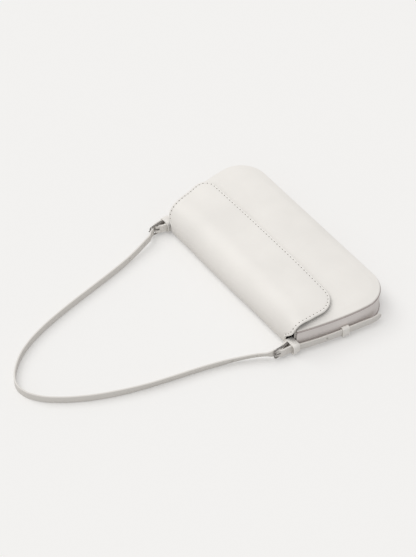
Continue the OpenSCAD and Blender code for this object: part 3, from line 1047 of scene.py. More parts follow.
@dataclass
class Buckle:
    """One side's buckle with its tab, prong and keepers."""

    side: Side
    shape: BodyShape
    frame_l: float = 18.5
    frame_w: float = 14.4
    frame_r: float = 2.4
    bar_d: float = 1.8
    wire_flat: float = 0.95
    bar_thin: float = 0.92
    strap_w: float = 10.0
    strap_t: float = 1.8
    room: float = 0.3
    play: float = 0.1
    prong_t: float = 1.1
    prong_w: float = 1.7
    prong_r: float = 0.4
    prong_past: float = 1.3
    prong_bow: float = 0.25
    prong_taper: float = 0.35
    prong_from: float = 0.8
    prong_end: float = 0.6
    taper_from: float = 0.6
    eye_turn: float = 200.0
    tab_t: float = 1.0
    tab_r: float = 0.3
    tab_down: float = 20.0
    tab_thin: float = 0.96
    leg_from: float = 0.8
    leg_in: float = 0.92
    leg_apart: float = 0.01
    loop_room: float = 0.12
    loop_open: float = 60.0
    slot_r: float = 0.2
    slot_w: float = 2.4
    slot_from: float = -2.3
    slot_to: float = 5.7
    keeper_t: float = 1.3
    keeper_w: float = 8.0
    keeper_r: float = 0.45
    keeper_bow: float = 0.06
    upper_loop_r: float = 2.6
    lower_loop_r: float = 1.7
    crease_in: float = 1.4
    crease_depth: float = 0.14

    def __post_init__(self) -> None:
        """Reads the centre bar's place from the buckle's joint."""
        self.name: str = self.side.name.lower()
        self.bar: Array = hung_joint(f"buckle_{self.name}_turn")

    @property
    def out(self) -> int:
        """Sign of the outward direction along X."""
        return self.side.value

    @property
    def bar_x(self) -> float:
        """How far the centre bar lies from the middle of the bag."""
        return abs(self.bar[0])

    @property
    def end_y(self) -> float:
        """Distance from the centre bar to an end bar."""
        return (self.frame_l - self.bar_d) / 2

    @property
    def over_r(self) -> float:
        """Distance from the centre bar to the strap that passes outside it."""
        return self.bar_d / 2 + self.play + self.tab_t + self.room + self.strap_t / 2

    @property
    def under_r(self) -> float:
        """Distance from the upper end bar to the strap that passes inside it."""
        return self.bar_d * 0.67 + self.room + self.strap_t / 2

    def strap_points(self) -> list[tuple[float, float]]:
        """Places of the strap round this buckle, outwards and up, from below to the upper end bar."""
        x, y = self.bar_x, self.bar[1]
        cross = math.asin((self.over_r + self.under_r) / self.end_y)
        turns = [cross * k / 4 for k in range(5)]
        low = [(x + self.over_r * math.cos(a), y + self.over_r * math.sin(a)) for a in turns]
        top = y + self.end_y
        high = [(x - self.under_r * math.cos(a), top - self.under_r * math.sin(a)) for a in reversed(turns)]
        return low + high

    def place(self, outward: Array | float, ahead: Array | float, height: Array | float) -> Array:
        """Puts places given as outward, up the strap and height on the centre bar."""
        return self.bar + stack(outward, ahead, height) * (self.out, 1, 1)

    def frame_mesh(self) -> Piece:
        """The rounded wire frame with its centre bar."""
        d = self.bar_d
        loop = rounded_loop(self.frame_l - d, self.frame_w - d, self.frame_r, corner_steps=8)
        wire = circle(d / 2, 16) * (1, self.wire_flat)
        x_axis = np.array([1.0, 0, 0])
        ring = sweep(f"buckle_ring_{self.name}", self.place(0, *loop.T), x_axis, wire, closed=True)
        half = (self.frame_w - d) / 2
        bar = sweep("bar", self.place(0, 0, np.linspace(-half, half, 9)), x_axis, wire * self.bar_thin)
        return joined(ring, bar)

    def prong_mesh(self) -> Piece:
        """The prong: a wire eye on the centre bar and a tapered tongue that rests on the end bar."""
        eye_r = self.bar_d / 2 + self.play + self.prong_t / 2
        turn = np.radians(np.linspace(-self.eye_turn, 0, 15))
        tongue_y = np.linspace(self.prong_from, self.end_y + self.prong_past, 12)
        tongue_x = eye_r + self.prong_bow * np.sin(np.pi * tongue_y / tongue_y[-1])
        x = np.concatenate([eye_r * np.cos(turn), tongue_x])
        y = np.concatenate([eye_r * np.sin(turn), tongue_y])
        start = self.taper_from
        taper = 1 - self.prong_taper * smooth((np.linspace(0, 1, len(x)) - start) / (1 - start))
        taper[-1] *= self.prong_end
        section = rounded_box(self.prong_t, self.prong_w, self.prong_r)
        return sweep(f"prong_tongue_{self.name}", self.place(x, y, 0), UP, section, scale=taper[:, None])

    def tab_path(self) -> Array:
        """The tab's middle line: up one leg, round the centre bar and down the other."""
        x, y = self.bar_x, self.bar[1]
        inside, leg_t = self.shape.leather_t + self.room, 2 * self.tab_t
        leg_x = -(self.bar_d / 2 + 2 + self.tab_t)
        mouth = self.shape.mouth_y
        leg = [(x - self.leg_from, y - self.leg_from)]
        leg += [(x + leg_x * self.leg_in, y - self.end_y + self.bar_d)]
        leg += [(x + leg_x, y - self.end_y - self.bar_d / 2)]
        for at in (mouth + self.room, mouth - self.tab_down / 2, mouth - self.tab_down * 0.8):
            leg.append((float(self.shape.half_width(at)) - inside - leg_t / 2, at))
        leg = spaced(smoothed(np.array(leg), 4), 1.2)
        side = tangents(leg)[:, ::-1] * (1, -1)
        half = self.tab_t / 2 + self.leg_apart
        start = math.atan2(*(leg[2] - leg[0])[::-1])
        ends = (start + math.radians(way) for way in (self.loop_open, 360 - self.loop_open))
        turn = np.linspace(*ends, 18)
        loop_r = self.bar_d / 2 + self.loop_room + self.tab_t / 2
        loop = np.column_stack([x + loop_r * np.cos(turn), y + loop_r * np.sin(turn)])
        first, second = leg - side * half, leg + side * half
        if np.linalg.norm(first[2] - loop[0]) > np.linalg.norm(second[2] - loop[0]):
            first, second = second, first
        flat = np.vstack([first[:1:-1], loop, second[2:]])
        return stack(flat[:, 0] * self.out, flat[:, 1], self.bar[2])

    def tab_mesh(self) -> Piece:
        """The leather tab that holds the buckle, with its slot for the prong."""
        section = rounded_box(self.tab_t * self.tab_thin, self.strap_w, self.tab_r)
        edge_from = self.strap_w / 2 - self.tab_r - EDGE_ROOM
        tab = sweep(f"buckle_tab_{self.name}", self.tab_path(), UP, section, edge_from=edge_from)
        slot = rounded_box(8.0, self.slot_w, self.slot_r, 1)
        ends = np.array([self.slot_from, self.slot_to])
        cut(tab, [sweep("slot", self.place(0, ends, 0), UP, slot)])
        return tab

    def keeper_section(self) -> Array:
        """Section of a keeper band with a creased line near each edge."""
        t, w, r = self.keeper_t / 2, self.keeper_w / 2, self.keeper_r
        creases = [(t - (0 if k else self.crease_depth), w - self.crease_in + 0.35 * k) for k in (-1, 0, 1)]
        turns = [math.radians(90 * k / 4) for k in range(5)]
        quarter = creases + [(t - r + r * math.cos(a), w - r + r * math.sin(a)) for a in turns]
        upper = quarter + [(-x, y) for x, y in reversed(quarter)]
        return np.array(upper + [(-x, -y) for x, y in upper])

    def keeper_mesh(self, keeper: Keeper) -> Piece:
        """A keeper band round the tail, the upper one round the buckle's tab too.

        Args:
            keeper: which of the two.

        Returns:
            The band.
        """
        t = self.keeper_t
        low, high = box_mm(f"{keeper.value}_keeper_{self.name}")
        centre, size, tilt = (low + high) / 2, high - low, 0.0
        if keeper is Keeper.LOWER:
            y, step = centre[1], self.keeper_w
            rise = float(self.shape.half_width(y - step) - self.shape.half_width(y + step))
            tilt = math.atan2(rise, 2 * step)
        x_axis = np.array([self.out * math.cos(tilt), math.sin(tilt), 0])
        y_axis = np.array([-self.out * math.sin(tilt), math.cos(tilt), 0])
        if keeper is Keeper.UPPER:
            centre -= SAG * UP
            loop = rounded_loop(size[0] - t, size[2] - t, self.upper_loop_r)
        else:
            near, far = t / 2 + self.play, self.shape.leather_t + self.strap_t + 2 * self.room + t / 2
            base = np.array([self.out * float(self.shape.half_width(y)), y, self.bar[2]])
            centre = base + x_axis * (near + far) / 2
            loop = rounded_loop(far - near, self.strap_w + 2 * self.room + t, self.lower_loop_r)
        bow = 1 + self.keeper_bow * np.cos(np.pi * loop[:, 1] / np.abs(loop[:, 1]).max() / 2)
        path = centre + loop[:, :1] * bow[:, None] * x_axis + loop[:, 1:] * UP
        name = f"{keeper.value}_band_{self.name}"
        edge_from = self.keeper_w / 2 - self.keeper_r - EDGE_ROOM
        return sweep(name, path, y_axis, self.keeper_section(), closed=True, edge_from=edge_from)

    def build(self, finishes: Finishes) -> None:
        """Makes the fittings, dresses them and lets them ride.

        Args:
            finishes: the bag's finishes.
        """
        ring = finishes.dress(self.frame_mesh(), Slot.BUCKLE, finishes.nickel)
        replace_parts(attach(ring, f"buckle_{self.name}"), f"buckle_frame_{self.name}")
        prong = finishes.dress(self.prong_mesh(), Slot.BUCKLE, finishes.nickel)
        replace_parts(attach(prong, f"prong_{self.name}"), f"prong_{self.name}")
        tab = finishes.dress(self.tab_mesh(), Slot.LEATHER, finishes.leather, finishes.edge)
        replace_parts(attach(tab, "shell"), f"chape_{self.name}")
        for keeper in Keeper:
            band = finishes.dress(self.keeper_mesh(keeper), Slot.LEATHER, finishes.leather, finishes.edge)
            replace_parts(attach(band, "shell"), f"{keeper.value}_keeper_{self.name}")


@dataclass
class Strap:
    """The whole strap: left tail, left buckle, loop, right buckle and right tail."""

    shape: BodyShape
    left: Buckle
    right: Buckle
    tail_l: float = 96.0
    tail_stand: float = 3.1
    reach: float = 230.7
    edge_r: float = 0.65
    hole_pitch: float = 26.0
    hole_d: float = 2.2
    hole_back: float = 8.0
    slot_d: float = 3.0
    slot_up: float = 4.0
    bow_out: float = 0.6
    floor_room: float = 0.3
    bend_from: float = -3.0
    bend_to: float = 30.0
    step: float = 1.5
    # Degrees that the loop leans, and how much more at its near side, near buckle and near tail
    lean_all: float = 6.0
    lean_near: float = 11.0
    lean_buckle: float = 8.0
    lean_tail: float = 8.0

    # Direction over the floor towards the picture's front
    FRONT = np.array([-0.78, 0.63])
    TIP = np.array([0.02, 0.15, 0.4, 0.8, 1.5, 2.4, 3.5, 4.7])
    # Share of the tail's length down from the mouth, and its distance from the side in stands
    TAIL = ((1, 2.4), (0.9, 1.75), (0.76, 1.2), (0.62, 1), (0.5, 1), (0.3, 1.12), (0.12, 1.15))
    # Places as shares of the mouth's half width, the reach and the rise from the floor
    LOOP = (
        (-0.932, 0, 1), (-0.897, 0.0253, 0.893), (-0.86, 0.0553, 0.693), (-0.823, 0.09, 0.456),
        (-0.786, 0.1297, 0.228), (-0.748, 0.1784, 0.07), (-0.71, 0.2362, 0.006), (-0.667, 0.3116, 0),
        (-0.62, 0.4043, 0), (-0.567, 0.5051, 0), (-0.497, 0.6129, 0), (-0.411, 0.7177, 0),
        (-0.312, 0.8104, 0), (-0.203, 0.8903, 0), (-0.082, 0.955, 0), (0.041, 0.9915, 0),
        (0.166, 0.9985, 0), (0.28, 0.9731, 0), (0.375, 0.9329, 0), (0.465, 0.8784, 0),
        (0.542, 0.8097, 0), (0.611, 0.7203, 0), (0.667, 0.6197, 0), (0.713, 0.518, 0),
        (0.75, 0.4243, 0), (0.785, 0.3347, 0), (0.819, 0.2513, 0.006), (0.845, 0.1919, 0.07),
        (0.87, 0.1413, 0.228), (0.893, 0.0994, 0.456), (0.916, 0.0619, 0.693),
        (0.938, 0.0288, 0.893), (0.958, 0, 1),
    )

    def __post_init__(self) -> None:
        """Reads the line about which the loop lifts and the strap's section."""
        self.hinge: Array = hung_joint("strap_swing")
        self.width: float = self.left.strap_w
        self.thick: float = self.left.strap_t
        self.half_mouth: float = float(self.shape.half_width(self.shape.mouth_y))

    def tail(self, buckle: Buckle) -> Array:
        """Middle line of one tail and of its way through the buckle.

        Args:
            buckle: the buckle that holds it.

        Returns:
            Places from the tip up.
        """
        mouth, stand = self.shape.mouth_y, self.tail_stand
        ys = [mouth - self.tail_l * s for s, _ in self.TAIL]
        flat = [(float(self.shape.half_width(y)) + stand * k, y) for y, (_, k) in zip(ys, self.TAIL)]
        flat.append((self.half_mouth + stand * 1.1, mouth))
        past_keeper = mouth + buckle.room + buckle.keeper_w
        flat.append((buckle.bar_x + buckle.over_r + self.bow_out, past_keeper))
        flat += buckle.strap_points()
        return np.array([(x * buckle.out, y, self.hinge[2]) for x, y in flat])

    def path(self) -> Array:
        """The strap's middle line, from the left tail's tip to the right one's."""
        a, b, c = np.array(self.LOOP).T
        floor_z = self.width / 2 + self.floor_room
        height = floor_z + (self.hinge[2] - floor_z) * c
        loop = stack(self.half_mouth * a, self.hinge[1] + self.reach * b, height)
        line = np.vstack([self.tail(self.left), loop, self.tail(self.right)[::-1]])
        return spaced(smoothed(line, 6), self.step)

    def tip_scale(self, path: Array) -> Array:
        """Narrows the strap to its round tips.

        Args:
            path: the strap's middle line.

        Returns:
            Share of the full width at each place.
        """
        along = runs(path)
        near = np.minimum(along, along[-1] - along)
        r = self.width / 2
        return np.sqrt(np.clip(1 - (np.clip(r - near, 0, r) / r) ** 2, 0.02, 1))

    def lean(self, line: Array, across: Array) -> Array:
        """How far the upper edge leans towards the picture's front, a millimetre of width.

        Args:
            line: the strap's middle line.
            across: direction through its thickness at each place.

        Returns:
            One sideways step a place.
        """
        x, y = line[:, 0], line[:, 1]
        past = y - self.hinge[1]
        near = smooth((20 - x) / 60) * smooth((255 - y) / 60)
        more = self.lean_near + self.lean_buckle * smooth((50 - past) / 30)
        angle = (self.lean_all + near * more) * smooth((past + 7) / 9)
        angle += self.lean_tail * smooth((64 - y) / 10) * smooth(-x / 20)
        front = across[:, :2] @ self.FRONT
        return (np.tan(np.radians(angle)) * front)[:, None] * across

    def mesh(self, path: Array) -> Piece:
        """Sweeps the strap, with tips that round off in its width alone.

        Args:
            path: the strap's middle line.

        Returns:
            The strap, still without holes.
        """
        head = path[0] + unit(path[4] - path[0]) * self.TIP[:, None]
        tail = path[-1] + unit(path[-5] - path[-1]) * self.TIP[::-1, None]
        line = np.vstack([head, path[4:-4], tail])
        along = tangents(line)
        wide = unit(UP - (along @ UP)[:, None] * along)
        wide = unit(wide + self.lean(line, np.cross(wide, along)))
        scale = np.column_stack([np.ones(len(line)), self.tip_scale(line)])
        section = rounded_box(self.thick, self.width, self.edge_r)
        edge_from = self.width / 2 - self.edge_r - EDGE_ROOM
        return sweep("strap_leather", line, wide, section, scale=scale, edge_from=edge_from)

    def holes(self, path: Array) -> list[Piece]:
        """Punches for the prongs' slots and the holes in the tails and beside the buckles.

        Args:
            path: the strap's middle line.

        Returns:
            The punches.
        """
        across = np.cross(UP, tangents(path)) * 4
        punches = []
        for buckle in (self.left, self.right):
            rest = buckle.bar + (0, buckle.end_y, 0)
            start = int(np.argmin(np.linalg.norm(path - rest, axis=1)))
            way = -buckle.out
            for count in (1, 2, -2):
                i = start + way * round((count * self.hole_pitch - self.hole_back) / self.step)
                punches.append(rod(path[i] - across[i], path[i] + across[i], self.hole_d / 2))
            slot = buckle.bar + (0, self.slot_up, 0)
            punches.append(rod(slot - (6, 0, 0), slot + (6, 0, 0), self.slot_d / 2))
        return punches

    def build(self, finishes: Finishes) -> None:
        """Makes the strap as one cord of flat leather, with its holes.

        Args:
            finishes: the bag's finishes.
        """
        path = self.path()
        length = runs(path)[-1]
        obj = self.mesh(path)
        cut(obj, self.holes(path))
        # The strap takes the darker strap leather, painted shade on its standing faces, and the lightened
        # edge paint
        finishes.dress(obj, Slot.LEATHER, finishes.strap, finishes.edge)
        bends = (self.bend_from, self.bend_to)
        start, end = ((0, (self.hinge[1] + past) * MM, self.hinge[2] * MM) for past in bends)
        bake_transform(obj)
        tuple(start)
        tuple(end)
        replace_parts(obj, "strap", "strap_tail_left", "strap_tail_right")
        LOG.info("strap is %.0f mm from tip to tip", length)


# The body


@dataclass
class Body:
    """The panels, side strip, edge strips, linings and pocket, all fixed to the shell."""

    shape: BodyShape
    finishes: Finishes
    stitching: Stitching
    roll_w: float = 4.0
    roll_drop: float = 1.0
    piping_out: float = 0.8
    # Width of the panel's outer band that takes the piping's painted shade
    piping_r: float = 1.0
    seam_shade_w: float = 0.9
    seam_in: float = 2.5
    seam_depth: float = 0.15
    seam_w: float = 0.7
    puff: float = 0.55
    puff_in: float = 3.2
    puff_w: float = 6.0
    uneven: float = 0.22
    uneven_l: float = 62.0
    thinnest: float = 0.4
    back_r: float = 0.9
    back_seam_in: float = 3.2
    back_seam_depth: float = 0.3
    back_seam_w: float = 0.6
    sewn_depth: float = 0.2
    sewn_w: float = 0.5
    side_dent: float = 0.24
    lining_dent: float = 0.05
    lining_t: float = 0.8
    lining_in: float = 3.0
    lining_r: float = 0.3
    lining_down: float = 0.3
    lining_gap: float = 0.1
    lining_uneven: float = 0.08
    facing_h: float = 20.0
    facing_t: float = 1.0
    facing_r: float = 0.35
    facing_seam: float = 2.2
    front_facing_in: float = 5.3
    side_facing_in: float = 5.2
    hem_h: float = 9.0
    hem_puff: float = 0.35
    pocket_r: float = 0.35
    pocket_seam: float = 2.4
    pocket_seam_depth: float = 0.15
    strip_step: float = 1.6

    def cover(self, obj: Piece, node: str, slot: Slot, skin: Material, rim: Material | None = None) -> None:
        """Dresses a piece, fixes it to the shell and lets it stand for a node."""
        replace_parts(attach(self.finishes.dress(obj, slot, skin, rim), "shell"), node)

    def front_panel(self) -> None:
        """The crowned front panel with a rolled rim and a sunk seam just inside it; its outermost band takes
        the piping's painted shade.
        """
        shape = self.shape
        x, y, seam = shape.grid(0.0, shape.mouth_y, 60, 100)
        rim = np.minimum(seam, shape.mouth_y - y)
        base = shape.seam_z + shape.swell(x, y)
        skin = base + shape.leather_t - rounded(rim * self.roll_drop / self.roll_w, self.roll_drop)
        skin -= groove(seam, self.seam_in, self.seam_depth, self.seam_w)
        skin += self.puff * smooth((seam - self.puff_in) / self.puff_w)
        skin += self.uneven * wave(x, y, self.uneven_l, 20) * smooth((seam - 5) / 20)
        obj = level_shell("front_leather", x, y, skin, np.minimum(base, skin - self.thinnest))
        centres = np.empty(3 * len(obj.data.polygons))
        obj.data.polygons.foreach_get("center", centres)
        # The outermost band takes the piping's dark finish: painted shade of the seam line
        seam_shade = line_distance(centres.reshape(-1, 3)[:, :2] / MM, shape.side_path()) < self.seam_shade_w
        obj.data.polygons.foreach_set("material_index", seam_shade.astype(np.int32))
        self.cover(obj, "front_panel", Slot.LEATHER, self.finishes.leather, self.finishes.piping)

    def back_panel(self) -> None:
        """The flat back panel, rounded along its lower rim."""
        x, y, rim = self.shape.grid(0.0, self.shape.mouth_y, 30, 50)
        outer = rounded(rim, self.back_r)
        outer += groove(rim, self.back_seam_in, self.back_seam_depth, self.back_seam_w)
        obj = level_shell("back_leather", x, y, outer, self.shape.leather_t)
        self.cover(obj, "back_panel", Slot.LEATHER, self.finishes.leather)

    def strip(self, name: str, node: str, inset: float, thick: float, top_y: float, dent: float) -> Piece:
        """A strip that follows the outline, standing on edge.

        Args:
            name: the piece's name.
            node: the node whose solid gives the heights of its two edges.
            inset: how far its outer face lies inside the outline.
            thick: its thickness.
            top_y: place of its two ends.
            dent: how far its middle is drawn in.

        Returns:
            The strip.
        """
        low, high = (corner[2] for corner in box_mm(node))
        line = self.shape.side_path(inset, top_y, self.strip_step)
        along = tangents(line)
        out = stack(-along[:, 1], along[:, 0], 0)[:, None]
        z = low + edge_steps(high - low, 10)
        flat = stack(line[:, :1], line[:, 1:], z)
        v = (z - low) / (high - low)
        s = np.arange(len(line))[:, None] * self.strip_step
        sink = dent * np.sin(np.pi * v) * (1 + 0.4 * wave(s, z[None], 47, 10))
        rim = rounded(np.minimum(z - low, high - z), min(0.5, thick / 2))
        return grid_shell(name, flat - out * (sink + rim)[..., None], flat - out * (thick + sink)[..., None])

    def gusset(self) -> None:
        """The side strip between the two edge strips."""
        t, top_y = self.shape.leather_t, self.shape.mouth_y
        obj = self.strip("side_strip", "gusset", 0.0, t, top_y, self.side_dent)
        # The side strip takes the darker side leather: painted shade of its upright faces
        self.cover(obj, "gusset", Slot.LEATHER, self.finishes.side)

    def piping(self, node: str) -> None:
        """A rounded edge strip sewn between a panel and the side strip.

        Args:
            node: the node that it stands for, whose solid gives its heights.
        """
        low, high = (corner[2] for corner in box_mm(node))
        wide = self.piping_out + self.shape.leather_t
        line = self.shape.side_path(wide / 2 - self.piping_out, step=self.strip_step)
        path = stack(*line.T, (low + high) / 2)
        obj = sweep(f"{node}_strip", path, UP, rounded_box(wide, high - low, self.piping_r))
        # The strip's dark finish is painted shade of the seam line
        self.cover(obj, node, Slot.EDGE, self.finishes.piping)

    def linings(self) -> None:
        """The cloth linings of the back, the sides and the front."""
        shape, t, cloth = self.shape, self.lining_t, self.finishes.lining
        edge_in = self.lining_in + t + self.lining_gap
        x, y, rim = shape.grid(edge_in, shape.mouth_y - self.lining_down, 20, 40)
        low = box_mm("back_lining")[0][2]
        top = low + t - rounded(rim, self.lining_r) + self.lining_uneven * wave(x, y, 40, 70)
        back = level_shell("back_cloth", x, y, top, low)
        self.cover(back, "back_lining", Slot.LINING, cloth)
        facing_y = shape.mouth_y - self.facing_h
        side = self.strip("side_cloth", "gusset_lining", self.lining_in, t, facing_y, self.lining_dent)
        self.cover(side, "gusset_lining", Slot.LINING, cloth)
        x, y, rim = shape.grid(edge_in, facing_y - self.lining_gap, 20, 40)
        base = box_mm("front_lining")[0][2] + shape.swell(x, y)
        front = level_shell("front_cloth", x, y, base + rounded(rim, self.lining_r), base + t)
        self.cover(front, "front_lining", Slot.LINING, cloth)

    def facings(self) -> None:
        """The leather facings inside the mouth, at the front and the sides."""
        shape, t, r = self.shape, self.facing_t, self.facing_r
        sewn = (self.sewn_depth, self.sewn_w)
        ys = shape.mouth_y - edge_steps(self.facing_h, 6)
        x = -np.array([edge_steps(2 * w, 50) - w for w in shape.half_width(ys) - self.front_facing_in])
        y = np.repeat(ys[:, None], x.shape[1], 1)
        base = box_mm("front_facing")[0][2] + shape.swell(x, y)
        rim = np.minimum(shape.mouth_y - y, y - ys[-1])
        under = base + rounded(rim, r) + groove(y - ys[-1], self.facing_seam, *sewn)
        front = level_shell("front_facing_leather", x, y, under, base + t)
        self.cover(front, "front_facing", Slot.LEATHER, self.finishes.leather, self.finishes.edge)
        for side in Side:
            name = side.name.lower()
            low, high = (corner[2] for corner in box_mm(f"gusset_facing_{name}"))
            y, z = np.meshgrid(ys, low + edge_steps(high - low, 10), indexing="ij")
            wall = shape.half_width(y) - self.side_facing_in
            rim = np.minimum.reduce([shape.mouth_y - y, y - ys[-1], z - low, high - z])
            inside = wall + rounded(rim, r) + groove(y - ys[-1], self.facing_seam, *sewn)
            skin, back = (stack(side.value * face, y, z) for face in (inside, wall + t))
            obj = grid_shell(f"side_facing_{name}", skin, back)
            node = f"gusset_facing_{name}"
            self.cover(obj, node, Slot.LEATHER, self.finishes.leather, self.finishes.edge)

    def pocket(self) -> None:
        """The slip pocket on the back lining, with a hem and sewn edges."""
        low, high = box_mm("slip_pocket")
        seam, hem = self.pocket_seam, self.hem_h
        xs = high[0] - edge_steps(high[0] - low[0], 30)
        ys = high[1] - edge_steps(high[1] - low[1], 16)
        y, x = np.meshgrid(ys, xs, indexing="ij")
        down = high[1] - y
        sides = np.minimum.reduce([high[0] - x, x - low[0], y - low[1]])
        rim = np.minimum(sides, down)
        top = high[2] - rounded(rim, self.pocket_r)
        top -= groove(sides, seam, self.pocket_seam_depth, self.sewn_w)
        top -= groove(down, hem, self.sewn_depth, self.sewn_w)
        top += self.hem_puff * smooth((hem + 1 - down) / 3) * smooth(rim / 1.5)
        obj = level_shell("pocket_cloth", x, y, top, low[2])
        self.cover(obj, "slip_pocket", Slot.LINING, self.finishes.lining)
        left, right, foot, start = low[0] + seam, high[0] - seam, low[1] + seam, high[1] - 1
        corners = [(right, start), (right, foot), (left, foot), (left, start)]
        path = spaced(np.array([(*corner, high[2] - 0.05) for corner in corners]), 1.0)
        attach(self.stitching.sew("pocket_stitches", path, UP, Pitch=3.2, Length=2.4), "shell")

    def snap(self, node: str, body: str, profile: Sequence[tuple[float, float]]) -> None:
        """One turned half of the magnetic snap.

        Args:
            node: the node that it stands for.
            body: the body on which it rides.
            profile: (radius, height) places of its section.
        """
        low, high = box_mm(node)
        obj = lathe(f"{node}_turned", profile, (low + high) / 2)
        self.finishes.dress(obj, Slot.SNAP, self.finishes.snap)
        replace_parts(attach(obj, body), node)

    def socket(self, lip: float = 0.3, hole: float = 2.8, boss: float = 4.6) -> None:
        """The snap's socket: a disc with a dished ring and a boss that goes through the panel.

        Args:
            lip: bevel of the disc's rim.
            hole: radius of the hole.
            boss: radius of the boss.
        """
        low, high = box_mm("snap_socket")
        r, base, face = (high[0] - low[0]) / 2, low[2], high[2]
        back, dish = face - 1.0, face - 0.18
        profile = [
            (hole, face - 0.15), (hole + 0.5, face), (hole + 1.6, face), (hole + 2.0, dish),
            (r - 1.5, dish), (r - 1.1, face), (r - lip, face), (r, face - lip),
            (r, back + lip), (r - lip, back), (boss, back), (boss, base), (hole, base),
        ]
        self.snap("snap_socket", "shell", profile)

    def stud(self, lip: float = 0.3, pin: float = 1.7, axis: float = 0.01) -> None:
        """The snap's stud: a disc with a dished ring and a pin.

        Args:
            lip: bevel of the disc's rim.
            pin: radius of the pin.
            axis: radius at which the section closes.
        """
        low, high = box_mm("snap_stud")
        r, tip, top = (high[0] - low[0]) / 2, low[2], high[2]
        back = box_mm("snap_stud_washer")[0][2] - 0.45
        face = back - 0.9
        dish = face + 0.15
        profile = [
            (axis, tip), (pin - 0.4, tip), (pin, tip + 0.4), (pin, face), (pin + 1.4, face),
            (pin + 1.8, dish), (r - 1.4, dish), (r - 1.0, face), (r - lip, face),
            (r, face + lip), (r, back - lip), (r - lip, back), (pin, back), (pin, top), (axis, top),
        ]
        self.snap("snap_stud", "flap", profile)

    def carried(self) -> None:
        """Gives the nodes whose solids stay their finishes."""
        f = self.finishes
        for node, material in (
            ("base_board", f.board),
            ("snap_socket_washer", f.snap),
            ("snap_stud_washer", f.snap),
        ):
            for slot in frame["nodes"][node].material_slots:
                slot.material = material

    def build(self) -> None:
        """Makes everything that is fixed to the shell, and the snap."""
        self.front_panel()
        self.back_panel()
        self.gusset()
        self.piping("front_piping")
        self.piping("back_piping")
        self.linings()
        self.facings()
        self.pocket()
        self.socket()
        self.stud()
        self.carried()


# The flap


